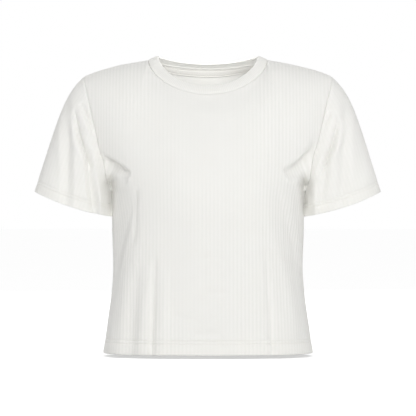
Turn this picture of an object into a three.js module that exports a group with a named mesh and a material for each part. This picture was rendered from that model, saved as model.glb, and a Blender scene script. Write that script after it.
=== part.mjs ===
// A short-sleeved crop top in rib knit, filled out as it hangs on a wearer, in millimetres.
//
// +Z is up, the chest faces -Y, and +X is the side of the wearer's left arm. The origin lies
// midway between the two points where the shoulder seams meet the neck band.
//
// Each piece of cloth starts as a sheet: a grid of points on its outer face, row by row. Rows
// of the body run round the wearer and rise from the hem. Rows of a sleeve run round the arm,
// from the armhole down to the cuff. wallOf() turns a sheet into a closed wall.

import * as THREE from "three";

// Cloth
const CLOTH = 1.2; // one layer of rib knit
const HEM_CLOTH = 2.2; // the two layers of a hem
const BAND_CLOTH = 2.4; // the neck band, folded double
const TAPE_CLOTH = 0.8;
const SEAM_GAP = 0.3;
const HEM_STEP = 0.8; // length over which a wall goes from two layers to one

// Body
const HEM_Z = -476.5;
const BODY_HEM = 24; // depth of the turned-up hem
const UNDERARM = { x: 158, z: -215, centreZ: -222 };
const SHOULDER = { x: 202, y: -4, z: -28 };
const NECK_POINT = { x: 97, y: -6, z: -1 }; // where the shoulder seam meets the neck band
const SHOULDER_DROOP = 8; // how much of the shoulder seam's fall comes at its outer end
const SHOULDER_RISE = 0.24; // slope, towards the back, of the cloth that crosses the seam

// Body sections. front and back are the depths of the cloth on the centre line, and the round
// columns are the sections' superellipse exponents: 2 is an ellipse, and more is squarer.
const LEVELS = [
  { z: -477, width: 170.5, front: 116, back: 100, frontRound: 2.55, backRound: 2.5 },
  { z: -430, width: 163.5, front: 112.5, back: 96, frontRound: 2.45, backRound: 2.4 },
  { z: -355, width: 154.5, front: 110, back: 91, frontRound: 2.25, backRound: 2.3 },
  { z: -290, width: 155.5, front: 115, back: 96, frontRound: 2.1, backRound: 2.2 },
  { z: -222, width: 158, front: 122, back: 104, frontRound: 2.1, backRound: 2.2 },
  { z: -160, width: 172, front: 111, back: 107, frontRound: 2.2, backRound: 2.3 },
  { z: -100, width: 186, front: 87, back: 98, frontRound: 2.3, backRound: 2.4 },
  { z: -56, width: 195, front: 66, back: 83, frontRound: 2.3, backRound: 2.4 },
];

// The two body panels. facing is a panel's way along Y, and its armhole runs up to armholeDepth
// that way from the side seam. neck is where its neck seam crosses the centre line, and rise is
// the slope of the cloth that arrives there.
const PANELS = {
  front_panel: {
    facing: -1,
    depth: "front",
    round: "frontRound",
    armholeDepth: 44,
    yokeCentreZ: -92,
    neck: { y: -64, z: -58, fall: 1.2, rise: 2.2 },
  },
  back_panel: {
    facing: 1,
    depth: "back",
    round: "backRound",
    armholeDepth: 48,
    yokeCentreZ: -72,
    neck: { y: 64, z: -11.5, fall: 2, rise: 1 },
  },
};
const ARMHOLE_SQUARE = 0.8; // under 1 makes the foot of the armhole squarer than an ellipse
const ARMHOLE_LEAN = 0.78; // under 1 bows the armhole's line outwards, seen from the front
const ARMHOLE_SCOOP = 2.5; // how far the armhole's middle curves back in towards the chest
const YOKE_TURN = 118; // degrees of the armhole's curve from the underarm up to the yoke
const NECK_SHARE = 0.45; // share of a row, from the centre line, that ends on the neck seam
const BEFORE_YOKE = 0.96; // an armhole row just under the yoke, which gives the cloth's way there
const NEAR_TOP = 0.8; // a yoke row from which the distance to the top edge is measured

// Sleeves, given for the side at +X. The cuff is an oval that tilts with the arm, and bow is how
// much lower its front and back hang than its two ends.
const SLEEVE_HEM = 20;
const CUFF = { x: 220, y: -4, z: -235.1, half: 65, depth: 42, tilt: 18, bow: 5 };
const ARMHOLE_GAP = 0.5; // where a sleeve starts, both out from the armhole and along the sleeve
// How the cloth leaves the armhole, by the share of the way from the underarm to the shoulder:
// its direction, and the pull of each end of its curve as a share of the curve's reach.
const SLEEVE_STARTS = [
  { share: 0, out: 0.22, forward: 0, down: 0.97, start: 0.3, end: 0.3 },
  { share: 0.3, out: 0.6, forward: 0.3, down: 0.7, start: 0.3, end: 0.35 },
  { share: 0.65, out: 0.8, forward: 0.22, down: 0.5, start: 0.3, end: 0.45 },
  { share: 1, out: 0.77, forward: 0, down: 0.64, start: 0.22, end: 0.6 },
];

// Neck band, and the tape that covers its seam inside the back
const BAND_EDGE = { x: 81, y: -4, z: 6.5, front: -54, frontZ: -43, back: 50, backZ: -3 };
const BAND_BULGE = 1;
const TAPE_WIDTH = 15.5;
const TAPE_GAP = 0.45; // between the tape and the curved cloth that it lies on

// The largest folds: the ends of each one, how far its middle bows to the side, half its width,
// and its depth, which is negative for a trough. face is -1 on the wearer's front.
const FOLDS = [
  { on: "front_panel", face: -1, x1: -116, z1: -236, x2: -160, z2: -440, bow: -6, half: 24, depth: -3.5 },
  { on: "front_panel", face: -1, x1: 110, z1: -236, x2: 158, z2: -446, bow: 6, half: 24, depth: -3.2 },
  { on: "front_panel", face: -1, x1: -84, z1: -335, x2: -93, z2: -500, bow: 0, half: 20, depth: -3 },
  { on: "front_panel", face: -1, x1: -180, z1: -148, x2: -128, z2: -188, bow: 6, half: 18, depth: -7 },
  { on: "front_panel", face: -1, x1: 182, z1: -143, x2: 130, z2: -178, bow: -6, half: 18, depth: -5.5 },
  { on: "front_panel", face: -1, x1: -158, z1: -196, x2: -138, z2: -272, bow: 2, half: 18, depth: -6 },
  { on: "front_panel", face: -1, x1: 158, z1: -196, x2: 140, z2: -272, bow: -2, half: 18, depth: -5 },
  { on: "back_panel", face: 1, x1: -120, z1: -240, x2: -156, z2: -430, bow: -6, half: 24, depth: -3 },
  { on: "back_panel", face: 1, x1: 122, z1: -240, x2: 158, z2: -430, bow: 6, half: 24, depth: -3 },
  { on: "back_panel", face: 1, x1: 62, z1: -330, x2: 70, z2: -500, bow: 0, half: 22, depth: -2.5 },
  { on: "back_panel", face: 1, x1: -178, z1: -150, x2: -126, z2: -196, bow: 6, half: 18, depth: -5 },
  { on: "back_panel", face: 1, x1: 178, z1: -146, x2: 124, z2: -190, bow: -6, half: 18, depth: -5 },
  { on: "sleeve_right", face: -1, x1: -218, z1: -84, x2: -188, z2: -200, bow: -5, half: 18, depth: -4.5 },
  { on: "sleeve_left", face: -1, x1: 212, z1: -96, x2: 180, z2: -204, bow: 5, half: 18, depth: -4 },
  { on: "sleeve_right", face: 1, x1: -214, z1: -90, x2: -192, z2: -196, bow: -4, half: 18, depth: -4 },
  { on: "sleeve_left", face: 1, x1: 216, z1: -86, x2: 190, z2: -200, bow: 4, half: 18, depth: -4 },
];
const FOLD_ENDS = 0.6; // under 1 keeps a fold deep until near its ends

// Grid sizes
const HALF_COLUMNS = 14; // from the centre line to a side seam or armhole
const NECK_COLUMNS = 6; // of those, how many end on the neck seam
const HEM_ROWS = 3; // in the turned-up hem of the body
const SIDE_ROWS = 9; // from the hem to the underarm
const ARMHOLE_ROWS = 7; // from the underarm to the yoke
const YOKE_ROWS = 5; // from the yoke to the top edge
const SLEEVE_ROWS = 9; // from the armhole to the hem
const YOKE_FILLED = 0.9; // share of the yoke's height that its rows fill, below the tape's row
const BAND_ROWS = 4;
const HEM_SEARCH = 0.005; // step along a sleeve's line, when its hem is looked for
const TINY = 1e-6;

// One finish for all the cloth, in slightly different shades so that the pieces can be told apart
const MATT = { roughness: 0.95, metalness: 0 };
const SHADES = {
  front_panel: 0xf1f0ec,
  back_panel: 0xe4e2dc,
  sleeve_left: 0xeae8e3,
  sleeve_right: 0xeae8e3,
  neck_band: 0xdad7cf,
  neck_tape: 0xc9c6bd,
};

const lerp = THREE.MathUtils.lerp;
const clamp = THREE.MathUtils.clamp;
const radians = THREE.MathUtils.degToRad;
const point = (x, y, z) => new THREE.Vector3(x, y, z);
const mirrored = (p) => point(-p.x, p.y, p.z);
const toward = (from, to) => to.clone().sub(from).normalize();

// A smooth curve through one column of a table, keyed by another.
function curveOf(table, key, name) {
  const at = table.map((row) => row[key]);
  const value = table.map((row) => row[name]);
  const slope = at.map((_, i) => {
    const low = Math.max(i - 1, 0);
    const high = Math.min(i + 1, at.length - 1);
    return (value[high] - value[low]) / (at[high] - at[low]);
  });
  return (t) => {
    let i = 0;
    while (i < at.length - 2 && t > at[i + 1]) {
      i += 1;
    }
    const span = at[i + 1] - at[i];
    const u = clamp((t - at[i]) / span, 0, 1);
    const straight = lerp(value[i], value[i + 1], u * u * (3 - 2 * u));
    return straight + span * u * (1 - u) * (slope[i] * (1 - u) - slope[i + 1] * u);
  };
}

// One curve for every column of a table.
const curvesOf = (table, key) =>
  Object.fromEntries(Object.keys(table[0]).map((name) => [name, curveOf(table, key, name)]));

// A cubic between two points, leaving and arriving along the given vectors.
function hermite(from, leave, to, arrive, t) {
  const between = from.clone().lerp(to, t * t * (3 - 2 * t));
  return between
    .addScaledVector(leave, t * (1 - t) ** 2)
    .addScaledVector(arrive, -t * t * (1 - t));
}

// ------------------------------------------------------------------ sheets

// The unit steps along a sheet's row and up its column at one point.
function stepsAt(sheet, j, i) {
  const { points, closed } = sheet;
  const row = points[j];
  const last = row.length - 1;
  const before = closed ? row[(i + last) % row.length] : row[Math.max(i - 1, 0)];
  const after = closed ? row[(i + 1) % row.length] : row[Math.min(i + 1, last)];
  const below = points[Math.max(j - 1, 0)][i];
  const above = points[Math.min(j + 1, points.length - 1)][i];
  return { along: toward(before, after), up: toward(below, above) };
}

function normalAt(sheet, j, i) {
  const { along, up } = stepsAt(sheet, j, i);
  return along.cross(up).normalize();
}

const normalsOf = (sheet) =>
  sheet.points.map((row, j) => row.map((_, i) => normalAt(sheet, j, i)));

// A fold's depth at a point: full along its bowed middle line, fading to its sides and ends.
function foldDepth(fold, at, normal) {
  const line = point(fold.x2 - fold.x1, 0, fold.z2 - fold.z1);
  const from = point(at.x - fold.x1, 0, at.z - fold.z1);
  const along = from.dot(line) / line.lengthSq();
  const side = point(-line.z, 0, line.x).normalize();
  const bowed = fold.bow * Math.sign(side.x) * 4 * along * (1 - along);
  const across = Math.abs(from.dot(side) - bowed) / fold.half;
  if (along <= 0 || along >= 1 || across >= 1) return 0;
  const faces = clamp(2 * normal.y * fold.face, 0, 1);
  const fading = Math.cos((Math.PI / 2) * across) ** 2 * Math.sin(Math.PI * along) ** FOLD_ENDS;
  return fold.depth * faces * fading;
}

// Presses the folds into a sheet, but leaves alone the points where fixed(j, i) is true.
function foldSheet(sheet, fixed) {
  const folds = FOLDS.filter((fold) => fold.on === sheet.name);
  const normals = normalsOf(sheet);
  sheet.points.forEach((row, j) => {
    row.forEach((at, i) => {
      if (fixed(j, i)) return;
      const flat = at.clone();
      for (const fold of folds) {
        at.addScaledVector(normals[j][i], foldDepth(fold, flat, normals[j][i]));
      }
    });
  });
}

// ------------------------------------------------------------------ body panels

const levelCurves = curvesOf(LEVELS, "z");

// A point on a row of the body. side runs from 0 on the centre line to 1 on the panel's edge.
function onRow(panel, row, side) {
  const power = 2 / row.round;
  const turn = Math.acos((row.edgeDepth / row.depth) ** (1 / power));
  const across = (Math.sin(turn * side) / Math.sin(turn)) ** power;
  const depth = row.depth * Math.max(Math.cos(turn * side), 0) ** power;
  return point(
    row.edgeX * across,
    panel.facing * depth,
    lerp(row.centreZ, row.edgeZ, across ** 2),
  );
}

// A row between the hem, at climb 0, and the underarm, at climb 1.
function sideRow(panel, climb) {
  const centreZ = lerp(HEM_Z, UNDERARM.centreZ, climb);
  return {
    edgeZ: lerp(HEM_Z, UNDERARM.z, climb),
    centreZ,
    edgeX: levelCurves.width(centreZ),
    edgeDepth: 0,
    depth: levelCurves[panel.depth](centreZ),
    round: levelCurves[panel.round](centreZ),
  };
}

// A row between the underarm, at climb 0, and the yoke, at climb 1.
function armholeRow(panel, climb) {
  const turn = radians(YOKE_TURN * climb - 90);
  const share = (1 + Math.sin(turn)) / 2;
  const leaning = lerp(UNDERARM.x, SHOULDER.x, share ** ARMHOLE_LEAN);
  const centreZ = lerp(UNDERARM.centreZ, panel.yokeCentreZ, climb);
  return {
    edgeZ: lerp(UNDERARM.z, SHOULDER.z, share),
    centreZ,
    edgeX: leaning - ARMHOLE_SCOOP * Math.sin(Math.PI * share),
    edgeDepth: panel.armholeDepth * Math.max(Math.cos(turn), 0) ** ARMHOLE_SQUARE,
    depth: levelCurves[panel.depth](centreZ),
    round: levelCurves[panel.round](centreZ),
  };
}

// The shoulder seam, from the neck at 0 to the armhole at 1.
function onShoulderSeam(t) {
  const fall = SHOULDER.z - NECK_POINT.z + SHOULDER_DROOP;
  return point(
    lerp(NECK_POINT.x, SHOULDER.x, t),
    lerp(NECK_POINT.y, SHOULDER.y, t),
    NECK_POINT.z + fall * t - SHOULDER_DROOP * t ** 4,
  );
}

// A loop round the neck: its front or back half, from the centre at 0 to the side at 1.
function onNeckLoop(side, centreY, centreZ, fall, t) {
  const turn = radians(90 * t);
  return point(
    side.x * Math.sin(turn),
    lerp(side.y, centreY, Math.cos(turn)),
    lerp(side.z, centreZ, Math.max(Math.cos(turn), 0) ** fall),
  );
}

// A point on a panel's top edge, and the way that the cloth arrives there.
function topEdge(panel, side) {
  const over = point(0, -panel.facing, -panel.facing * SHOULDER_RISE).normalize();
  if (side >= NECK_SHARE) {
    return { at: onShoulderSeam((side - NECK_SHARE) / (1 - NECK_SHARE)), way: over };
  }
  const { neck } = panel;
  const t = side / NECK_SHARE;
  const up = point(0, -panel.facing, neck.rise).normalize();
  return {
    at: onNeckLoop(NECK_POINT, neck.y, neck.z, neck.fall, t),
    way: up.lerp(over, t * t).normalize(),
  };
}

// A point between the yoke, at climb 0, and the top edge, at climb 1.
function onYoke(panel, side, climb) {
  const start = onRow(panel, armholeRow(panel, 1), side);
  const before = onRow(panel, armholeRow(panel, BEFORE_YOKE), side);
  const { at, way } = topEdge(panel, side);
  const reach = start.distanceTo(at);
  const leave = toward(before, start).multiplyScalar(reach);
  return hermite(start, leave, at, way.multiplyScalar(reach), climb);
}

// The last row below the top edge, where the tape ends.
function onTapeRow(panel, side) {
  const near = onYoke(panel, side, NEAR_TOP);
  const reach = near.distanceTo(topEdge(panel, side).at) / (1 - NEAR_TOP);
  return onYoke(panel, side, 1 - TAPE_WIDTH / reach);
}

// The rows of a body panel, from the hem up, as functions of side.
function panelRows(panel) {
  const rows = [];
  const hem = BODY_HEM / (UNDERARM.z - HEM_Z);
  const step = HEM_STEP / (UNDERARM.z - HEM_Z);
  for (let i = 0; i < HEM_ROWS; i += 1) {
    const row = sideRow(panel, (hem * i) / (HEM_ROWS - 1));
    rows.push((side) => onRow(panel, row, side));
  }
  for (let i = 0; i < SIDE_ROWS; i += 1) {
    const row = sideRow(panel, lerp(hem + step, 1, i / SIDE_ROWS));
    rows.push((side) => onRow(panel, row, side));
  }
  for (let i = 0; i < ARMHOLE_ROWS; i += 1) {
    const row = armholeRow(panel, i / ARMHOLE_ROWS);
    rows.push((side) => onRow(panel, row, side));
  }
  for (let i = 0; i < YOKE_ROWS - 1; i += 1) {
    rows.push((side) => onYoke(panel, side, (YOKE_FILLED * i) / (YOKE_ROWS - 1)));
  }
  rows.push((side) => onTapeRow(panel, side));
  rows.push((side) => topEdge(panel, side).at);
  return rows;
}
const UNDERARM_ROW = HEM_ROWS + SIDE_ROWS;
const TOP_ROW = UNDERARM_ROW + ARMHOLE_ROWS + YOKE_ROWS;
const LAST_COLUMN = 2 * HALF_COLUMNS;

// The columns of half a panel, as values of side.
function sideShares() {
  const shares = [];
  for (let i = 0; i <= NECK_COLUMNS; i += 1) {
    shares.push((NECK_SHARE * i) / NECK_COLUMNS);
  }
  const rest = HALF_COLUMNS - NECK_COLUMNS;
  for (let i = 1; i <= rest; i += 1) {
    shares.push(lerp(NECK_SHARE, 1, i / rest));
  }
  return shares;
}

// True where a panel's point lies on the side seam or on the shoulder seam.
const onSideSeam = (j, i) => j <= UNDERARM_ROW && (i === 0 || i === LAST_COLUMN);
const onTopSeam = (j, i) => j === TOP_ROW && Math.abs(i - HALF_COLUMNS) >= NECK_COLUMNS;

function panelSheet(name) {
  const panel = PANELS[name];
  const shares = sideShares();
  const points = panelRows(panel).map((row) => {
    const half = shares.map((side) => row(Math.max(side, TINY)));
    const whole = [...half.slice(1).map(mirrored).reverse(), ...half];
    return panel.facing < 0 ? whole : whole.reverse();
  });
  const layers = points.map((_, j) => (j < HEM_ROWS ? HEM_CLOTH : CLOTH));
  const sheet = { name, points, layers, closed: false };
  foldSheet(sheet, (j, i) => onSideSeam(j, i) || j === TOP_ROW);
  return sheet;
}

// Gives two panels the same normals where they meet, and trims each back from the seam.
function joinPanels(front, back) {
  for (const sheet of [front, back]) sheet.normals = normalsOf(sheet);
  const moved = [];
  for (let j = 0; j <= TOP_ROW; j += 1) {
    for (let i = 0; i <= LAST_COLUMN; i += 1) {
      if (!onSideSeam(j, i) && !onTopSeam(j, i)) continue;
      const shared = front.normals[j][i].clone().add(back.normals[j][LAST_COLUMN - i]).normalize();
      front.normals[j][i] = shared;
      back.normals[j][LAST_COLUMN - i] = shared;
      for (const [sheet, column] of [[front, i], [back, LAST_COLUMN - i]]) {
        const inner = j === TOP_ROW ? [j - 1, column] : [j, column === 0 ? 1 : column - 1];
        const at = sheet.points[j][column];
        const into = toward(at, sheet.points[inner[0]][inner[1]]);
        moved.push({ at, by: into.multiplyScalar(SEAM_GAP / 2) });
      }
    }
  }
  return moved;
}

// ------------------------------------------------------------------ sleeves

const startCurves = curvesOf(SLEEVE_STARTS, "share");

// The armhole's half on one panel, at +X, from the underarm to the shoulder.
function armholeEdge(sheet) {
  const column = sheet.points[UNDERARM_ROW][0].x > 0 ? 0 : LAST_COLUMN;
  const inner = column === 0 ? 1 : column - 1;
  const edge = [];
  let run = 0;
  for (let j = UNDERARM_ROW; j <= TOP_ROW; j += 1) {
    const at = sheet.points[j][column];
    if (j > UNDERARM_ROW) run += at.distanceTo(sheet.points[j - 1][column]);
    edge.push({ at, run, normal: sheet.normals[j][column], into: toward(at, sheet.points[j][inner]) });
  }
  return edge.map((seam) => ({ ...seam, share: seam.run / run }));
}

// The line of cloth that leaves the armhole at one point and ends on the cuff.
function sleeveLine(seam, facing) {
  const tilt = radians(CUFF.tilt);
  const across = point(Math.cos(tilt), 0, Math.sin(tilt));
  const alongArm = point(Math.sin(tilt), 0, -Math.cos(tilt));
  const turn = Math.PI * seam.share;
  const to = point(CUFF.x, CUFF.y + facing * CUFF.depth * Math.sin(turn), CUFF.z);
  to.addScaledVector(across, -CUFF.half * Math.cos(turn));
  to.addScaledVector(alongArm, CUFF.bow * Math.sin(turn) ** 2);
  const start = Object.fromEntries(
    Object.entries(startCurves).map(([name, curve]) => [name, curve(seam.share)]),
  );
  const leave = point(start.out, facing * start.forward, -start.down).normalize();
  const from = seam.at.clone().addScaledVector(leave, ARMHOLE_GAP);
  from.addScaledVector(seam.normal, ARMHOLE_GAP * (1 - seam.share));
  const reach = 3 * from.distanceTo(to);
  leave.multiplyScalar(start.start * reach);
  alongArm.multiplyScalar(start.end * reach);
  return (t) => hermite(from, leave, to, alongArm, t);
}

// How far down a sleeve's line its turned-up hem begins.
function hemShare(line) {
  const end = line(1);
  let t = 1;
  while (line(t).distanceTo(end) < SLEEVE_HEM) {
    t -= HEM_SEARCH;
  }
  return t;
}

function sleeveSheet(name, front, back) {
  // Round the armhole once: down the front from the shoulder, then up the back.
  const frontHalf = armholeEdge(front).reverse().slice(0, -1);
  const backHalf = armholeEdge(back).slice(0, -1);
  const seam = [...frontHalf, ...backHalf];
  const lines = seam.map((at, i) => sleeveLine(at, i < frontHalf.length ? -1 : 1));
  const hems = lines.map(hemShare);
  const rows = [];
  for (let j = 0; j <= SLEEVE_ROWS; j += 1) {
    rows.push((line, i) => line((hems[i] * j) / SLEEVE_ROWS));
  }
  rows.push((line, i) => line(hems[i] + HEM_STEP * (1 - hems[i]) / SLEEVE_HEM));
  rows.push((line) => line(1));
  const points = rows.map((row) => lines.map(row));
  const layers = points.map((_, j) => (j > SLEEVE_ROWS ? HEM_CLOTH : CLOTH));
  const sheet = { name, points, layers, closed: true, seam };
  if (name === "sleeve_right") {
    sheet.points = points.map((row) => row.map(mirrored).reverse());
    sheet.seam = seam.map(({ into, ...rest }) => ({ ...rest, into: mirrored(into) })).reverse();
  }
  foldSheet(sheet, (j) => j === 0);
  return sheet;
}

// ------------------------------------------------------------------ neck

// The neck seam on one panel, in the order of its columns.
function neckEdge(sheet) {
  const edge = [];
  for (let i = HALF_COLUMNS - NECK_COLUMNS; i <= HALF_COLUMNS + NECK_COLUMNS; i += 1) {
    const at = sheet.points[TOP_ROW][i];
    const into = toward(at, sheet.points[TOP_ROW - 1][i]);
    edge.push({ at, into, t: Math.abs(i - HALF_COLUMNS) / NECK_COLUMNS, sign: Math.sign(at.x) });
  }
  return edge;
}

function bandSheet(front, back) {
  const frontEdge = { y: BAND_EDGE.front, z: BAND_EDGE.frontZ, fall: PANELS.front_panel.neck.fall };
  const backEdge = { y: BAND_EDGE.back, z: BAND_EDGE.backZ, fall: PANELS.back_panel.neck.fall };
  const frontHalf = neckEdge(front).map((at) => ({ ...at, ...frontEdge }));
  const backHalf = neckEdge(back).map((at) => ({ ...at, ...backEdge }));
  const seam = [...frontHalf, ...backHalf.slice(1, -1)];
  const points = [];
  for (let j = 0; j <= BAND_ROWS; j += 1) {
    points.push(
      seam.map(({ at, y, z, fall, t, sign }) => {
        const edge = onNeckLoop(BAND_EDGE, y, z, fall, t);
        edge.x *= sign || 1;
        const start = at.clone().addScaledVector(toward(at, edge), SEAM_GAP);
        return start.lerp(edge, j / BAND_ROWS);
      }),
    );
  }
  const sheet = { name: "neck_band", points, closed: true, seam };
  sheet.layers = points.map(() => BAND_CLOTH);
  const normals = normalsOf(sheet);
  points.forEach((row, j) => {
    const bulge = BAND_BULGE * Math.sin((Math.PI * j) / BAND_ROWS);
    row.forEach((at, i) => at.addScaledVector(normals[j][i], bulge));
  });
  return sheet;
}

// The tape lies on the inner face of the back panel, just under the neck seam.
function tapeSheet(back) {
  const first = HALF_COLUMNS - NECK_COLUMNS;
  const last = HALF_COLUMNS + NECK_COLUMNS;
  const lay = (j) =>
    back.points[j]
      .slice(first, last + 1)
      .map((at, i) => at.clone().addScaledVector(back.normals[j][first + i], -CLOTH - TAPE_GAP));
  const points = [lay(TOP_ROW - 1), lay(TOP_ROW)];
  return { name: "neck_tape", points, layers: [TAPE_CLOTH, TAPE_CLOTH], closed: false };
}

// ------------------------------------------------------------------ walls

// The inward offset of a wall's first row, kept from leaning over the cloth that it is sewn to.
function seamOffset(offset, seam) {
  const lean = offset.dot(seam.into);
  return lean > 0 ? offset.addScaledVector(seam.into, -lean) : offset;
}

// A closed wall: the sheet, the same sheet moved inwards by the cloth's thickness, and the rims.
function wallOf(sheet) {
  const { points, closed, layers, seam } = sheet;
  const normals = sheet.normals ?? normalsOf(sheet);
  const across = points[0].length;
  const count = points.length * across;
  const outer = points.flat();
  const inner = points.flatMap((row, j) =>
    row.map((at, i) => {
      const offset = normals[j][i].clone().multiplyScalar(-layers[j]);
      return at.clone().add(j === 0 && seam ? seamOffset(offset, seam[i]) : offset);
    }),
  );
  const index = [];
  const quad = (a, b, c, d) => index.push(a, b, c, a, c, d);
  const id = (j, i) => j * across + (i % across);
  const top = points.length - 1;
  const spans = closed ? across : across - 1;
  for (let i = 0; i < spans; i += 1) {
    for (let j = 0; j < top; j += 1) {
      const [a, b, c, d] = [id(j, i), id(j, i + 1), id(j + 1, i + 1), id(j + 1, i)];
      quad(a, b, c, d);
      quad(count + a, count + d, count + c, count + b);
    }
    quad(count + id(0, i), count + id(0, i + 1), id(0, i + 1), id(0, i));
    quad(id(top, i), id(top, i + 1), count + id(top, i + 1), count + id(top, i));
  }
  for (let j = 0; j < top && !closed; j += 1) {
    quad(id(j, 0), id(j + 1, 0), count + id(j + 1, 0), count + id(j, 0));
    quad(count + id(j, spans), count + id(j + 1, spans), id(j + 1, spans), id(j, spans));
  }
  const geometry = new THREE.BufferGeometry();
  const positions = [...outer, ...inner].flatMap((p) => [p.x, p.y, p.z]);
  geometry.setAttribute("position", new THREE.Float32BufferAttribute(positions, 3));
  geometry.setIndex(index);
  geometry.computeVertexNormals();
  const mesh = new THREE.Mesh(
    geometry,
    new THREE.MeshStandardMaterial({ ...MATT, color: SHADES[sheet.name] }),
  );
  mesh.name = sheet.name;
  return mesh;
}

const front = panelSheet("front_panel");
const back = panelSheet("back_panel");
const trims = joinPanels(front, back);
const sheets = [
  front,
  back,
  sleeveSheet("sleeve_left", front, back),
  sleeveSheet("sleeve_right", front, back),
  bandSheet(front, back),
  tapeSheet(back),
];
for (const { at, by } of trims) {
  at.add(by);
}

const cropTop = new THREE.Group();
cropTop.name = "crop_top";
for (const sheet of sheets) {
  cropTop.add(wallOf(sheet));
}
export default cropTop;
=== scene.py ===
"""A short-sleeved crop top in off-white cotton rib knit, filled out as it hangs on a wearer.

The cut's tables and the sheets of cloth are in millimetres, and a mesh is made in metres. +Z is
up, the chest faces -Y, and +X is the side of the wearer's left arm. The origin lies midway
between the two points where the shoulder seams meet the neck band.
"""

import logging
import math
from dataclasses import dataclass, field
from enum import Enum
from typing import Callable, NamedTuple, Sequence

import bpy
import numpy as np
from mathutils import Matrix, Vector


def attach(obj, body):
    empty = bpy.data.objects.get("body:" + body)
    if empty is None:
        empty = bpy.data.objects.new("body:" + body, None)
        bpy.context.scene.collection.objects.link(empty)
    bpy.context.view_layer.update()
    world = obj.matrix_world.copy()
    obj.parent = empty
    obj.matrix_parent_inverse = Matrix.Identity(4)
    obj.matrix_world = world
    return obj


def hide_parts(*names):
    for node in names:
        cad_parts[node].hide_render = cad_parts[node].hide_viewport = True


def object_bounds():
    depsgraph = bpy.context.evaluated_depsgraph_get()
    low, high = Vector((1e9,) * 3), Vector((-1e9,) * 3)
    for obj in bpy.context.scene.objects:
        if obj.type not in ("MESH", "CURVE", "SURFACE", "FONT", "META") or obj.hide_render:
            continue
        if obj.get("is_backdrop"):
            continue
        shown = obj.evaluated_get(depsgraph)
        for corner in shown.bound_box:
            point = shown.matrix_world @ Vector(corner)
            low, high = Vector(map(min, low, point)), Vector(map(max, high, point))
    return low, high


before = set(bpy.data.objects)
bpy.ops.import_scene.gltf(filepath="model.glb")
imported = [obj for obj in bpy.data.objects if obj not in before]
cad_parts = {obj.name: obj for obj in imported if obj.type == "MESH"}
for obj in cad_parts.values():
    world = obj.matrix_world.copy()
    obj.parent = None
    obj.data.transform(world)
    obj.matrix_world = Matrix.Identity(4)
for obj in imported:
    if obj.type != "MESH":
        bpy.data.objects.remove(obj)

LOG = logging.getLogger("crop_top")
MM = 0.001  # a millimetre, in metres
TINY = 1e-6  # keeps a division clear of zero
SEED = 7
Array = np.ndarray
Curve = Callable[[Array], Array]


# ---------------------------------------------------------------------------- tables


class Level(NamedTuple):
    """A level section of the body: half its width, its depths on the centre line, and its squareness."""

    z: float
    width: float
    front: float
    back: float
    front_round: float
    back_round: float


LEVELS = (
    Level(-477, 170.5, 116, 100, 2.55, 2.5),
    Level(-430, 163.5, 112.5, 96, 2.45, 2.4),
    Level(-355, 154.5, 110, 91, 2.25, 2.3),
    Level(-290, 155.5, 115, 96, 2.1, 2.2),
    Level(-222, 158, 122, 104, 2.1, 2.2),
    Level(-160, 172, 111, 107, 2.2, 2.3),
    Level(-100, 186, 87, 98, 2.3, 2.4),
    Level(-56, 195, 66, 83, 2.3, 2.4),
)


class SleeveStart(NamedTuple):
    """How the cloth leaves the armhole, by the share of the way from the underarm to the shoulder."""

    share: float
    out: float
    forward: float
    down: float
    start: float
    end: float


SLEEVE_STARTS = (
    SleeveStart(0, 0.22, 0, 0.97, 0.3, 0.3),
    SleeveStart(0.3, 0.6, 0.3, 0.7, 0.3, 0.35),
    SleeveStart(0.65, 0.8, 0.22, 0.5, 0.3, 0.45),
    SleeveStart(1, 0.77, 0, 0.64, 0.22, 0.6),
)


class Face(Enum):
    """The wearer's front and back, each with its way along Y."""

    FRONT = -1
    BACK = 1


FRONT, BACK = Face.FRONT, Face.BACK


class Fold(NamedTuple):
    """A fold from one end to the other, seen from the front. A negative depth is a trough."""

    face: Face
    x1: float
    z1: float
    x2: float
    z2: float
    bow: float  # how far the middle bows to the side
    half: float  # half the width across it
    depth: float
    crisp: float  # 0 for a round trough, up to 1 for a creased one
    lean: float = 0.0  # share by which the flank towards +X is wider and the other narrower


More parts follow.
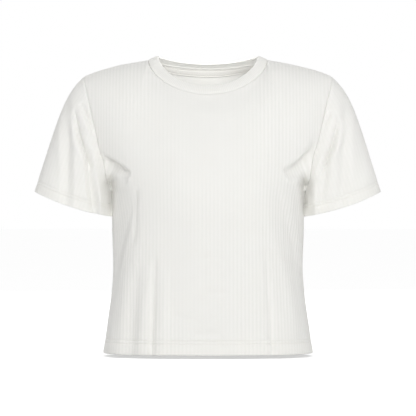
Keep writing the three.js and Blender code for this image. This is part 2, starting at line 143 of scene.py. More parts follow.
FOLDS = {
    "front_panel": (
        # where the front turns into the sides
        Fold(FRONT, -112, -206, -170, -470, -10, 22, -6, 0.3, -0.4),
        Fold(FRONT, -94, -250, -140, -440, -8, 14, 1.2, 0.0),
        Fold(FRONT, 108, -206, 170, -470, 10, 22, -5.6, 0.3, -0.4),
        Fold(FRONT, 90, -250, 142, -440, 8, 14, 1.0, 0.0),
        Fold(FRONT, -112, -330, -132, -560, -2, 22, -5.5, 0.1),
        # the hanging pleat, and its ridges
        Fold(FRONT, -85, -318, -93, -540, 0, 9, -5.5, 0.5),
        Fold(FRONT, -70, -335, -76, -530, 2, 13, 2.4, 0.0),
        Fold(FRONT, -104, -345, -118, -500, 2, 13, 1.2, 0.0),
        Fold(FRONT, 92, -310, 103, -520, 2, 9, -3.2, 0.4),
        Fold(FRONT, 84, -360, 88, -512, -2, 14, 0.9, 0.0),
        Fold(FRONT, 24, -300, 18, -500, 2, 12, -0.8, 0.0),
        # pulled towards the armpits
        Fold(FRONT, -194, -155, -125, -190, 2, 19, -18, 0.3, -0.45),
        Fold(FRONT, -168, -192, -124, -195, 5, 9, 5, 0.2),
        Fold(FRONT, -117, -212, -119, -300, 1, 7, -3.0, 0.4),
        Fold(FRONT, 186, -146, 124, -187, 4, 21, -16, 0.2, 0.3),
        Fold(FRONT, 178, -136, 148, -184, 0, 15, -6, 0.0),
        Fold(FRONT, 170, -193, 126, -192, -4, 9, 3.8, 0.2),
        # small ripples over the waist
        Fold(FRONT, -16, -322, 34, -327, 3, 8, -1.3, 0.2),
        Fold(FRONT, -24, -372, 38, -377, -3, 8, -1.5, 0.2),
        Fold(FRONT, -66, -414, -8, -426, 3, 8, -2.2, 0.3),
        Fold(FRONT, -30, -447, 22, -441, -2, 8, -1.7, 0.2),
    ),
    "back_panel": (
        Fold(BACK, 62, -326, 72, -512, 0, 12, -2.8, 0.5),
        Fold(BACK, 84, -342, 94, -505, 0, 14, 1.3, 0.0),
        Fold(BACK, -72, -340, -86, -512, -2, 13, -2.2, 0.3),
        Fold(BACK, -184, -142, -126, -196, 6, 12, -6, 0.5),
        Fold(BACK, 184, -140, 124, -190, -6, 12, -5.4, 0.5),
        Fold(BACK, -170, -186, -128, -204, 4, 9, 3.4, 0.2),
        Fold(BACK, 170, -180, 126, -198, -4, 9, 3.0, 0.2),
        Fold(BACK, -166, -196, -152, -262, 2, 15, -8, 0.4),
        Fold(BACK, 166, -194, 152, -260, -2, 15, -8, 0.4),
        Fold(BACK, -40, -296, 30, -308, 4, 9, -1.2, 0.2),
        Fold(BACK, -10, -350, 52, -342, -4, 9, -1.1, 0.2),
        Fold(BACK, -66, -118, 58, -122, -6, 12, -1.0, 0.2),
        Fold(BACK, -112, -214, -168, -470, -10, 22, -5, 0.3, -0.4),
        Fold(BACK, 111, -216, 168, -468, 10, 21, -4.6, 0.3, -0.4),
        Fold(BACK, -58, -408, 4, -418, 3, 8, -1.6, 0.3),
    ),
    "sleeve_right": (
        Fold(FRONT, -218, -78, -184, -184, -4, 10, -6, 0.2),
        Fold(FRONT, -218, -80, -185, -180, -4, 4, -6, 0.4),
        Fold(FRONT, -230, -84, -204, -160, -4, 9, 1.5, 0.0),
        Fold(FRONT, -207, -70, -181, -128, 2, 9, -4, 0.2),
        Fold(FRONT, -206, -72, -182, -126, 2, 4, -4.5, 0.4),
        Fold(FRONT, -203, -86, -184, -136, -2, 7, 2.4, 0.0),
        Fold(FRONT, -194, -140, -181, -262, -2, 10, -8.0, 0.3),
        Fold(FRONT, -184, -150, -172, -256, -1, 8, 3.0, 0.0),
        Fold(FRONT, -230, -62, -229, -275, 1, 14, -8.0, 0.1),
        Fold(FRONT, -250, -140, -236, -240, 0, 13, -1.2, 0.0),
        Fold(BACK, -214, -80, -188, -196, -4, 9, -4.4, 0.5),
        Fold(BACK, -204, -120, -178, -250, -3, 13, -6, 0.4),
        Fold(BACK, -232, -90, -226, -230, 2, 15, -2.4, 0.2),
    ),
    "sleeve_left": (
        Fold(FRONT, 212, -92, 177, -192, 4, 9, -5, 0.2),
        Fold(FRONT, 212, -94, 178, -190, 4, 4, -5, 0.4),
        Fold(FRONT, 223, -98, 196, -172, 4, 9, 2.8, 0.0),
        Fold(FRONT, 199, -84, 180, -134, -2, 8, -3.5, 0.2),
        Fold(FRONT, 198, -86, 181, -132, -2, 4, -4, 0.4),
        Fold(FRONT, 192, -150, 179, -240, 3, 10, -4.4, 0.4),
        Fold(FRONT, 226, -66, 216, -270, -1, 14, -6.5, 0.1),
        Fold(FRONT, 250, -132, 240, -236, 0, 13, -1.1, 0.0),
        Fold(BACK, 215, -78, 187, -200, 4, 9, -4.2, 0.5),
        Fold(BACK, 205, -118, 178, -250, 3, 13, -6, 0.4),
        Fold(BACK, 236, -96, 228, -234, -2, 15, -2.4, 0.2),
    ),
}


class Hollow(NamedTuple):
    """A place where the cloth falls in towards the plane of the side seams, or swells out from it."""

    face: Face
    x: float
    z: float
    half_x: float
    half_z: float
    share: float  # how much of its distance from that plane it loses, negative where it gains


HOLLOWS = (
    # under each armpit, and the swell outside it
    Hollow(FRONT, -158, -203, 7.5, 13, 0.93),
    Hollow(FRONT, -157, -230, 4, 18, 0.9),
    Hollow(FRONT, -171, -236, 8, 30, -0.4),
    Hollow(FRONT, 156, -203, 7, 12, 0.92),
    Hollow(FRONT, 156, -230, 4, 18, 0.85),
    Hollow(FRONT, 171, -236, 8, 30, -0.35),
    # the sides of the chest below
    Hollow(FRONT, -158, -262, 21, 58, 0.36),
    Hollow(FRONT, 158, -262, 20, 58, 0.3),
    # under each armpit at the back
    Hollow(BACK, -157, -214, 9, 18, 0.7),
    Hollow(BACK, 157, -212, 9, 18, 0.7),
)


# ---------------------------------------------------------------------------- small tools


def smooth_curve(rows: Sequence[NamedTuple], name: str) -> Curve:
    """A smooth curve through one column of a table, keyed by the table's first column.

    Args:
        rows: The table, in rising order of its first column.
        name: The column's name.

    Returns:
        A function from key to value that takes arrays.
    """
    keys = np.array([row[0] for row in rows], float)
    values = np.array([getattr(row, name) for row in rows], float)
    low = np.maximum(np.arange(len(keys)) - 1, 0)
    high = np.minimum(np.arange(len(keys)) + 1, len(keys) - 1)
    slopes = (values[high] - values[low]) / (keys[high] - keys[low])

    def at(key: Array) -> Array:
        """The curve's values at some keys.

        Args:
            key: The keys.

        Returns:
            A value for each key.
        """
        i = np.clip(np.searchsorted(keys, key, side="left") - 1, 0, len(keys) - 2)
        span = keys[i + 1] - keys[i]
        u = np.clip((key - keys[i]) / span, 0, 1)
        straight = values[i] + (values[i + 1] - values[i]) * u * u * (3 - 2 * u)
        return straight + span * u * (1 - u) * (slopes[i] * (1 - u) - slopes[i + 1] * u)

    return at


def lerp(a: Array, b: Array, t: Array) -> Array:
    """The point a share t of the way from a to b."""
    return a + (b - a) * t


def vector(x: Array, y: Array, z: Array) -> Array:
    """Three coordinates, broadcast to one array whose last axis is x, y, z."""
    return np.stack(np.broadcast_arrays(x, y, z), axis=-1).astype(float)


def unit(v: Array) -> Array:
    """Vectors scaled to a length of one."""
    return v / np.maximum(np.linalg.norm(v, axis=-1, keepdims=True), TINY)


def hermite(start: Array, leave: Array, end: Array, arrive: Array, t: Array) -> Array:
    """A cubic between two points.

    Args:
        start: Where it starts.
        leave: The vector that it leaves along.
        end: Where it ends.
        arrive: The vector that it arrives along.
        t: The places along it, from 0 to 1.

    Returns:
        A point for each place.
    """
    t = np.asarray(t)[..., None]
    middle = lerp(start, end, t * t * (3 - 2 * t))
    return middle + leave * t * (1 - t) ** 2 - arrive * t * t * (1 - t)


def smooth_step(value: Array, width: float) -> Array:
    """0 at zero, rising smoothly to 1 at width and beyond."""
    t = np.clip(value / width, 0, 1)
    return t * t * (3 - 2 * t)


def bell(value: Array, width: float) -> Array:
    """1 at zero, falling away on both sides over about the width."""
    return np.exp(-((value / width) ** 2))


def length_along(points: Array, axis: int) -> Array:
    """The distance run along one axis of a grid of points, from its first row or column.

    Args:
        points: The grid, or a single line of points.
        axis: The axis to run along.

    Returns:
        The distance of each point.
    """
    steps = np.linalg.norm(np.diff(points, axis=axis), axis=-1)
    first = np.zeros_like(np.take(steps, [0], axis=axis))
    return np.concatenate([first, np.cumsum(steps, axis=axis)], axis=axis)


def evenly_along(points: Array, count: int) -> Array:
    """The places that divide a line into even lengths.

    Args:
        points: The points of the line.
        count: How many places, the two ends among them.

    Returns:
        The places, as shares of the range of indices.
    """
    run = length_along(points, 0)
    index = np.linspace(0, 1, len(points))
    return np.interp(np.linspace(0, run[-1], count), run, index)


def linear(code: str) -> tuple[float, float, float, float]:
    """A linear colour from an sRGB one.

    Args:
        code: The hex code, such as "F3F2EE".

    Returns:
        Linear red, green and blue, and an alpha of 1.
    """
    channels = [int(code[i : i + 2], 16) / 255 for i in (0, 2, 4)]
    r, g, b = (c / 12.92 if c <= 0.04045 else ((c + 0.055) / 1.055) ** 2.4 for c in channels)
    return (r, g, b, 1.0)


MATH = "ShaderNodeMath"  # the node for sums, in shader and geometry trees alike


def add_node(
    tree: bpy.types.NodeTree,
    kind: str,
    settings: dict[str, object] | str | None = None,
    *values: object,
    **links: object,
) -> bpy.types.Node:
    """Adds a node to a tree.

    Args:
        tree: The tree that the node goes into.
        kind: The node's type.
        settings: Values for the node's own properties, or only the name of its operation.
        values: What the first inputs take, in order: a node, whose first output is linked, an
            output socket to link, or a plain value.
        links: What other inputs take. An input is named in lower case with _ for a space, or by
            its number after "i".

    Returns:
        The new node.
    """
    node = tree.nodes.new(kind)
    own = {"operation": settings} if isinstance(settings, str) else settings or {}
    for name, value in own.items():
        setattr(node, name, value)
    links.update({f"i{i}": value for i, value in enumerate(values)})
    for name, value in links.items():
        if name[0] == "i" and name[1:].isdigit():
            socket = node.inputs[int(name[1:])]
        else:
            socket = next(s for s in node.inputs if s.enabled and s.name.lower().replace(" ", "_") == name)
        if isinstance(value, bpy.types.Node):
            tree.links.new(value.outputs[0], socket)
        elif isinstance(value, bpy.types.NodeSocket):
            tree.links.new(value, socket)
        else:
            socket.default_value = value
    return node


def set_inputs(node: bpy.types.Node, values: dict[str, object]) -> None:
    """Sets inputs of a node by their names."""
    for name, value in values.items():
        node.inputs[name].default_value = value


def new_material(name: str) -> tuple[bpy.types.Material, bpy.types.NodeTree, bpy.types.Node]:
    """Starts a material.

    Args:
        name: The material's name.

    Returns:
        The material, its node tree and its shader.
    """
    material = bpy.data.materials.new(name)
    material.use_nodes = True
    return material, material.node_tree, material.node_tree.nodes["Principled BSDF"]


# ---------------------------------------------------------------------------- finishes


@dataclass(frozen=True)
class RibKnit:
    """Cotton rib knit, garment washed: a matt off-white face with soft ribs and a faint fuzz.

    Sheen gives the fuzz a pale edge where the cloth turns away, and the loops of the knit are a
    fine bump. The hollows between ribs are painted darker, as painted shade.
    """

    name: str = "cotton rib knit"
    crest: str = "F4F3F0"
    # painted shade: the hollows between ribs take this darker colour
    hollow: str = "EDEDE9"
    stain: str = "F1F0EB"
    pitch: float = 6.25  # from rib to rib
    # A loop is drawn 1.25 mm wide and 1.6 mm tall, about half as coarse again as the real one.
    wale: float = 1.25
    course: float = 1.6
    loop_height: float = 0.08
    loop_lean: float = 2.2  # how far along its course a loop leans, in radians
    bump: float = 0.5
    fuzz: float = 0.8  # how much the fuzz adds to the bump
    # faint clouds of colour from washing, broken up by the fuzz
    cloud: float = 45.5
    speck: float = 2.38
    speck_gain: float = 1.4
    roughness: float = 0.92
    specular: float = 0.25
    sheen: float = 0.12
    sheen_roughness: float = 0.6
    glow: float = 0.4
    glow_depth: float = 2.0

    def build(self) -> bpy.types.Material:
        """Builds the material and its nodes.

        Returns:
            The material.
        """
        material, tree, shader = new_material(self.name)
        uv = add_node(tree, "ShaderNodeUVMap", {"uv_map": "cloth"})
        axes = add_node(tree, "ShaderNodeSeparateXYZ", vector=uv)
        across, along = axes.outputs[0], axes.outputs[1]
        place = add_node(tree, "ShaderNodeTexCoord").outputs["Object"]
        specks = add_node(tree, "ShaderNodeTexNoise", vector=place, scale=1 / (self.speck * MM), detail=2.0)
        colour = self.add_colour(tree, across, place, specks)
        bump = self.add_bump(tree, across, along, specks)
        tree.links.new(colour.outputs[2], shader.inputs["Base Color"])
        tree.links.new(bump.outputs[0], shader.inputs["Normal"])
        finish = {
            "Roughness": self.roughness,
            "Specular IOR Level": self.specular,
            "Sheen Weight": self.sheen,
            "Sheen Roughness": self.sheen_roughness,
            "Subsurface Weight": self.glow,
            "Subsurface Radius": (1.0, 1.0, 1.0),
            "Subsurface Scale": self.glow_depth * MM,
        }
        set_inputs(shader, finish)
        return material

    def add_colour(
        self,
        tree: bpy.types.NodeTree,
        across: bpy.types.NodeSocket,
        place: bpy.types.NodeSocket,
        specks: bpy.types.Node,
    ) -> bpy.types.Node:
        """Adds the colour of the ribs, with painted shade in the hollows between them, and the clouds over
        both.

        Args:
            tree: The material's tree.
            across: The distance across the ribs.
            place: The place on the garment.
            specks: The noise of the fuzz.

        Returns:
            The node that mixes the last colour.
        """
        turn = add_node(tree, MATH, "MULTIPLY", across, 2 * math.pi / (self.pitch * MM))
        rib = add_node(tree, MATH, "COSINE", turn)
        strength = add_node(tree, "ShaderNodeAttribute", {"attribute_name": "relief"}).outputs["Fac"]
        standing = add_node(tree, MATH, "MULTIPLY", rib, strength)
        rise = add_node(tree, MATH, "MULTIPLY_ADD", standing, 0.5, 0.5)
        kind = {"data_type": "RGBA"}
        low, high, stain = linear(self.hollow), linear(self.crest), linear(self.stain)
        # painted shade: the colour darkens from the crest colour into each hollow between ribs
        rib_colour_with_painted_shade = add_node(tree, "ShaderNodeMix", kind, i0=rise, i6=low, i7=high)
        cloud = add_node(tree, "ShaderNodeTexNoise", vector=place, scale=1 / (self.cloud * MM), detail=3.0)
        broken = add_node(tree, MATH, "MULTIPLY", specks, self.speck_gain)
        amount = add_node(tree, MATH, "MULTIPLY", cloud, broken)
        return add_node(tree, "ShaderNodeMix", kind, i0=amount, i6=rib_colour_with_painted_shade.outputs[2], i7=stain)

    def add_bump(
        self,
        tree: bpy.types.NodeTree,
        across: bpy.types.NodeSocket,
        along: bpy.types.NodeSocket,
        specks: bpy.types.Node,
    ) -> bpy.types.Node:
        """Adds the bump of the knit's loops and its fuzz.

        Args:
            tree: The material's tree.
            across: The distance across the ribs.
            along: The distance along the ribs.
            specks: The noise of the fuzz.

        Returns:
            The bump node.
        """
        # Each loop leans one way in one half of its wale and the other way in the other half.
        column = add_node(tree, MATH, "MULTIPLY", across, math.pi / (self.wale * MM))
        lean = add_node(tree, MATH, "ABSOLUTE", add_node(tree, MATH, "SINE", column))
        row = add_node(tree, MATH, "MULTIPLY", along, 2 * math.pi / (self.course * MM))
        leaning = add_node(tree, MATH, "MULTIPLY_ADD", lean, self.loop_lean, row)
        loop = add_node(tree, MATH, "SINE", leaning)
        height = add_node(tree, MATH, "MULTIPLY_ADD", loop, 0.5, lean)
        fuzzy = add_node(tree, MATH, "MULTIPLY_ADD", specks, self.fuzz, height)
        deep = self.loop_height * MM
        return add_node(tree, "ShaderNodeBump", height=fuzzy, distance=deep, strength=self.bump)


@dataclass(frozen=True)
class Twill:
    """Cotton twill tape, woven: flatter and smoother than the knit, with fine slanting lines whose sunk
    sides are painted darker, as painted shade.
    """

    name: str = "cotton twill tape"
    raised: str = "F4F3EF"
    # painted shade: the sunk side of each slanting line takes this darker colour
    sunk: str = "E9E7E2"
    # The slanting lines are drawn 1.4 mm apart, twice as coarse as the real ones.
    line: float = 1.4
    line_height: float = 0.1
    bump: float = 0.6
    roughness: float = 0.85
    specular: float = 0.3

    def build(self) -> bpy.types.Material:
        """Builds the material and its nodes.

        Returns:
            The material.
        """
        material, tree, shader = new_material(self.name)
        uv = add_node(tree, "ShaderNodeUVMap", {"uv_map": "cloth"})
        axes = add_node(tree, "ShaderNodeSeparateXYZ", vector=uv)
        slant = add_node(tree, MATH, "ADD", axes.outputs[0], axes.outputs[1])
        turn = add_node(tree, MATH, "MULTIPLY", slant, 2 * math.pi / (self.line * MM))
        wave = add_node(tree, MATH, "SINE", turn)
        rise = add_node(tree, MATH, "MULTIPLY_ADD", wave, 0.5, 0.5)
        low, high = linear(self.sunk), linear(self.raised)
        # painted shade: the colour darkens where the bump is low
        colour = add_node(tree, "ShaderNodeMix", {"data_type": "RGBA"}, i0=rise, i6=low, i7=high)
        deep = self.line_height * MM
        bump = add_node(tree, "ShaderNodeBump", height=rise, distance=deep, strength=self.bump)
        tree.links.new(colour.outputs[2], shader.inputs["Base Color"])
        tree.links.new(bump.outputs[0], shader.inputs["Normal"])
        set_inputs(shader, {"Roughness": self.roughness, "Specular IOR Level": self.specular})
        return material


@dataclass(frozen=True)
class Thread:
    """Spun polyester sewing thread: a little glossier and whiter than the knit it is sunk in."""

    name: str = "sewing thread"
    light: str = "F4F3EF"
    dark: str = "E2DFD7"
    twist: float = 1.11  # length of the thread's light and dark stretches
    roughness: float = 0.6
    sheen: float = 0.1

    def build(self) -> bpy.types.Material:
        """Builds the material and its nodes.

        Returns:
            The material.
        """
        material, tree, shader = new_material(self.name)
        place = add_node(tree, "ShaderNodeTexCoord").outputs["Object"]
        noise = add_node(tree, "ShaderNodeTexNoise", vector=place, scale=1 / (self.twist * MM), detail=1.0)
        low, high = linear(self.dark), linear(self.light)
        colour = add_node(tree, "ShaderNodeMix", {"data_type": "RGBA"}, i0=noise, i6=low, i7=high)
        tree.links.new(colour.outputs[2], shader.inputs["Base Color"])
        set_inputs(shader, {"Roughness": self.roughness, "Sheen Weight": self.sheen})
        return material


# ---------------------------------------------------------------------------- node trees


def new_tree(name: str, inputs: dict[str, tuple[str, float | None]]) -> bpy.types.NodeTree:
    """An empty Geometry Nodes tree with a mesh going in and out.

    Args:
        name: The tree's name.
        inputs: The further inputs, each with its socket type and first value.

    Returns:
        The tree.
    """
    tree = bpy.data.node_groups.new(name, "GeometryNodeTree")
    tree.interface.new_socket("Mesh", in_out="INPUT", socket_type="NodeSocketGeometry")
    for label, (kind, value) in inputs.items():
        socket = tree.interface.new_socket(label, in_out="INPUT", socket_type=kind)
        if value is not None:
            socket.default_value = value
    tree.interface.new_socket("Mesh", in_out="OUTPUT", socket_type="NodeSocketGeometry")
    tree.nodes.new("NodeGroupInput")
    return tree


def end_tree(tree: bpy.types.NodeTree, geometry: bpy.types.NodeSocket) -> None:
    """Ends a tree in Realize Instances, Set Material and its output.

    Args:
        tree: The tree, with an input named Material.
        geometry: What the tree has made so far.
    """
    given = tree.nodes["Group Input"].outputs
    real = add_node(tree, "GeometryNodeRealizeInstances", geometry=geometry)
    painted = add_node(tree, "GeometryNodeSetMaterial", geometry=real, material=given["Material"])
    add_node(tree, "NodeGroupOutput", i0=painted)


RIB_ROUNDNESS = 0.8  # a lower power gives a rib a broader top and a narrower hollow
RIB_HEIGHT = 0.4
RIB_UNEVENNESS = 0.65  # how much lower the lowest rib is than the highest, as a share
STITCH_UNEVENNESS = 0.12  # how much the stitches' lengths differ, as a share


def rib_tree() -> bpy.types.NodeTree:
    """Raises the ribs: each point moves out by the rib's height at its distance across the cloth.

    Returns:
        The tree.
    """
    tree = new_tree(
        "Raise ribs",
        {
            "Pitch": ("NodeSocketFloat", RibKnit.pitch * MM),
            "Height": ("NodeSocketFloat", RIB_HEIGHT * MM),
            "Unevenness": ("NodeSocketFloat", RIB_UNEVENNESS),
            "Seed": ("NodeSocketInt", SEED),
            "Material": ("NodeSocketMaterial", None),
        },
    )
    given = tree.nodes["Group Input"].outputs
    kind = {"data_type": "FLOAT"}
    across = add_node(tree, "GeometryNodeInputNamedAttribute", kind, name="across")
    weight = add_node(tree, "GeometryNodeInputNamedAttribute", kind, name="relief")
    count = add_node(tree, MATH, "DIVIDE", across, given["Pitch"])
    number = add_node(tree, MATH, "ROUND", count)
    wave = add_node(tree, MATH, "COSINE", add_node(tree, MATH, "MULTIPLY", count, math.pi))
    rounded = add_node(tree, MATH, "POWER", add_node(tree, MATH, "ABSOLUTE", wave), RIB_ROUNDNESS)
    lowest = add_node(tree, MATH, "SUBTRACT", 1.0, given["Unevenness"])
    seed = given["Seed"]
    share = add_node(tree, "FunctionNodeRandomValue", kind, min=lowest, max=1.0, id=number, seed=seed)
    height = add_node(tree, MATH, "MULTIPLY", given["Height"], share.outputs[1])
    lift = add_node(tree, MATH, "MULTIPLY", add_node(tree, MATH, "MULTIPLY", rounded, weight), height)
    normal = add_node(tree, "GeometryNodeInputNormal")
    offset = add_node(tree, "ShaderNodeVectorMath", "SCALE", normal, scale=lift)
    moved = add_node(tree, "GeometryNodeSetPosition", geometry=given["Mesh"], offset=offset)
    end_tree(tree, moved.outputs[0])
    return tree


def stitch_tree() -> bpy.types.NodeTree:
    """Lays stitches along the lines of a mesh, each lying flat on the cloth.

    Returns:
        The tree.
    """
    tree = new_tree(
        "Lay stitches",
        {
            "Pitch": ("NodeSocketFloat", Stitching.pitch * MM),
            "Length": ("NodeSocketFloat", Stitching.length * MM),
            "Thickness": ("NodeSocketFloat", Stitching.thickness * MM),
            "Unevenness": ("NodeSocketFloat", STITCH_UNEVENNESS),
            "Seed": ("NodeSocketInt", SEED),
            "Material": ("NodeSocketMaterial", None),
        },
    )
    given = tree.nodes["Group Input"].outputs
    line = add_node(tree, "GeometryNodeMeshToCurve", mesh=given["Mesh"])
    pitch = given["Pitch"]
    path = add_node(tree, "GeometryNodeResampleCurve", {"mode": "LENGTH"}, curve=line, length=pitch)
    tangent = add_node(tree, "GeometryNodeInputTangent")
    kind = {"data_type": "FLOAT_VECTOR"}
    outward = add_node(tree, "GeometryNodeInputNamedAttribute", kind, name="outward")
    along = add_node(tree, "FunctionNodeAlignRotationToVector", {"axis": "X"}, vector=tangent)
    turned = {"axis": "Z", "pivot_axis": "X"}
    flat = add_node(tree, "FunctionNodeAlignRotationToVector", turned, rotation=along, vector=outward)
    # a stitch is a ball of diameter 1, stretched to its length and thickness
    stitch = add_node(tree, "GeometryNodeMeshUVSphere", segments=6, rings=4, radius=0.5)
    half = add_node(tree, MATH, "MULTIPLY", given["Unevenness"], 0.5)
    lowest = add_node(tree, MATH, "SUBTRACT", 1.0, half)
    highest = add_node(tree, MATH, "ADD", 1.0, half)
    kind, seed = {"data_type": "FLOAT"}, given["Seed"]
    share = add_node(tree, "FunctionNodeRandomValue", kind, min=lowest, max=highest, seed=seed)
    length = add_node(tree, MATH, "MULTIPLY", given["Length"], share.outputs[1])
    thick = given["Thickness"]
    size = add_node(tree, "ShaderNodeCombineXYZ", x=length, y=thick, z=thick)
    ways = {"instance": stitch, "rotation": flat, "scale": size}
    placed = add_node(tree, "GeometryNodeInstanceOnPoints", points=path, **ways)
    end_tree(tree, placed.outputs[0])
    return tree


def apply_tree(piece: bpy.types.Object, tree: bpy.types.NodeTree, values: dict[str, object]) -> None:
    """Runs a tree on a piece and keeps the result as its plain mesh.

    Args:
        piece: The piece, whose mesh goes into the tree.
        tree: The tree.
        values: The tree's inputs by name.
    """
    modifier = piece.modifiers.new(tree.name, "NODES")
    modifier.node_group = tree
    for item in tree.interface.items_tree:
        if item.in_out == "INPUT" and item.name in values:
            modifier[item.identifier] = values[item.name]
    graph = bpy.context.evaluated_depsgraph_get()
    mesh = bpy.data.meshes.new_from_object(piece.evaluated_get(graph))
    piece.modifiers.remove(modifier)
    piece.data = mesh
    mesh.name = piece.name


# ---------------------------------------------------------------------------- sheets of cloth


@dataclass
class Cloth:
    """The thicknesses of the cloth, and what a seam does to it."""

    single: float = 1.2
    hem: float = 2.2
    band: float = 2.4
    tape: float = 0.8
    seam_gap: float = 0.3
    seam_sink: float = 0.28  # how deep the cloth dips into a seam
    seam_reach: float = 1.6
    allowance: float = 5.5  # width of the turnings pressed flat beside a seam
    allowance_rise: float = 0.35
    allowance_fade: float = 2.0  # the rise ends over this width
    stitch_sink: float = 0.5  # how deep a row of stitches draws the cloth in
    stitch_reach: float = 1.1
    stitch_flattens: float = 0.85  # how much of the ribs' height a row of stitches takes
    flat_reach: float = 1.3
    # the ribs start this far from a folded edge or a seam, and reach their height over the fade
    fold_bare: float = 0.5
    fold_fade: float = 2.0
    seam_bare: float = 0.3
    seam_fade: float = 2.5


CLOTH = Cloth()
FOLD_ENDS = 0.6  # a lower power brings a fold up to its full depth sooner
FOLD_TURN = 2.0  # how fast a fold fades where the cloth turns away from its face
WAVES = 14
# how far a wave turns for each millimetre, in radians
WAVE_ACROSS = (0.02, 0.09)
WAVE_ALONG = (-0.035, 0.035)


@dataclass
class Sheet:
    """One piece of cloth as a grid of points on its outer face, row by row.

    Rows of the body run round the wearer and rise from the hem. Rows of a sleeve run round the
    arm, from the armhole down to the cuff.
    """

    name: str
    points: Array
    layers: Array  # thickness for each row
    closed: bool  # the rows join up into rings
    across: Array | None = None  # distance across the ribs
    along: Array | None = None  # distance along the ribs
    relief: Array | None = None  # how far the ribs stand up, from 0 to 1
    round_first: bool = False  # the first row is a folded edge
    round_last: bool = False
    normals: Array | None = None

    def find_normals(self) -> Array:
        """Works out the outward normals from the grid as it is, and keeps them.

        Returns:
            The normals.
        """
        grid = self.points
        if self.closed:
            run = np.roll(grid, -1, axis=1) - np.roll(grid, 1, axis=1)
        else:
            run = np.gradient(grid, axis=1)
        rise = np.gradient(grid, axis=0)
        self.normals = unit(np.cross(unit(run), unit(rise)))
        return self.normals

    def move_out(self, distance: Array) -> None:
        """Moves each point along its normal.

        Args:
            distance: How far each point moves out.
        """
        if self.normals is None:
            self.find_normals()
        self.points = self.points + self.normals * distance[..., None]
        self.find_normals()

    def fold_depths(self) -> Array:
        """How far the folds move each point, before any fading at the seams.

        Returns:
            The distances, negative inward.
        """
        normals = self.find_normals()
        total = np.zeros(self.points.shape[:2])
        x, z = self.points[..., 0], self.points[..., 2]
        for fold in FOLDS.get(self.name, ()):
            dx, dz = fold.x2 - fold.x1, fold.z2 - fold.z1
            length = math.hypot(dx, dz)
            side_x, side_z = -dz / length, dx / length
            along = ((x - fold.x1) * dx + (z - fold.z1) * dz) / length**2
            across = (x - fold.x1) * side_x + (z - fold.z1) * side_z
            bowed = fold.bow * np.sign(side_x) * 4 * along * (1 - along)
            flank = fold.half * (1 + fold.lean * np.sign(across - bowed))
            off = np.clip(np.abs(across - bowed) / flank, 0, 1)
            soft = np.cos(off * math.pi / 2) ** 2
            shape = lerp(soft, (1 - off) ** 2, fold.crisp)
            ends = np.sin(math.pi * np.clip(along, 0, 1)) ** FOLD_ENDS
            faces = np.clip(FOLD_TURN * normals[..., 1] * fold.face.value, 0, 1)
            total += fold.depth * shape * ends * faces
        return total

    def press_hollows(self) -> None:
        """Moves the cloth at the hollows, which run on from one sheet to the next."""
        for hollow in HOLLOWS:
            x, y, z = (self.points[..., i] for i in range(3))
            near = bell(x - hollow.x, hollow.half_x) * bell(z - hollow.z, hollow.half_z)
            lost = np.where(y * hollow.face.value > 0, hollow.share * near, 0)
            self.points = vector(x, y * (1 - lost), z)
        self.find_normals()

    def unevenness(self, rng: np.random.Generator, amount: float) -> Array:
        """Gentle waves over the cloth, longer along the ribs than across.

        Args:
            rng: The random numbers for the waves.
            amount: The usual height of the waves.

        Returns:
            How far each point moves out.
        """
        total = np.zeros(self.points.shape[:2])
        for _ in range(WAVES):
            across = rng.uniform(*WAVE_ACROSS)
            along = rng.uniform(*WAVE_ALONG)
            phase = rng.uniform(0, 2 * math.pi)
            total += np.sin(self.across * across + self.along * along + phase)
        return total * amount / math.sqrt(WAVES / 2)


def quads(a: Array, b: Array, c: Array, d: Array) -> list[list[int]]:
    """Faces from four matching arrays of corners."""
    return np.stack([a.ravel(), b.ravel(), c.ravel(), d.ravel()], axis=1).tolist()


RIM_ANGLES = (45, 90, 135)
INNER_STRIDE = 2  # the inner face has one column for this many of the outer face


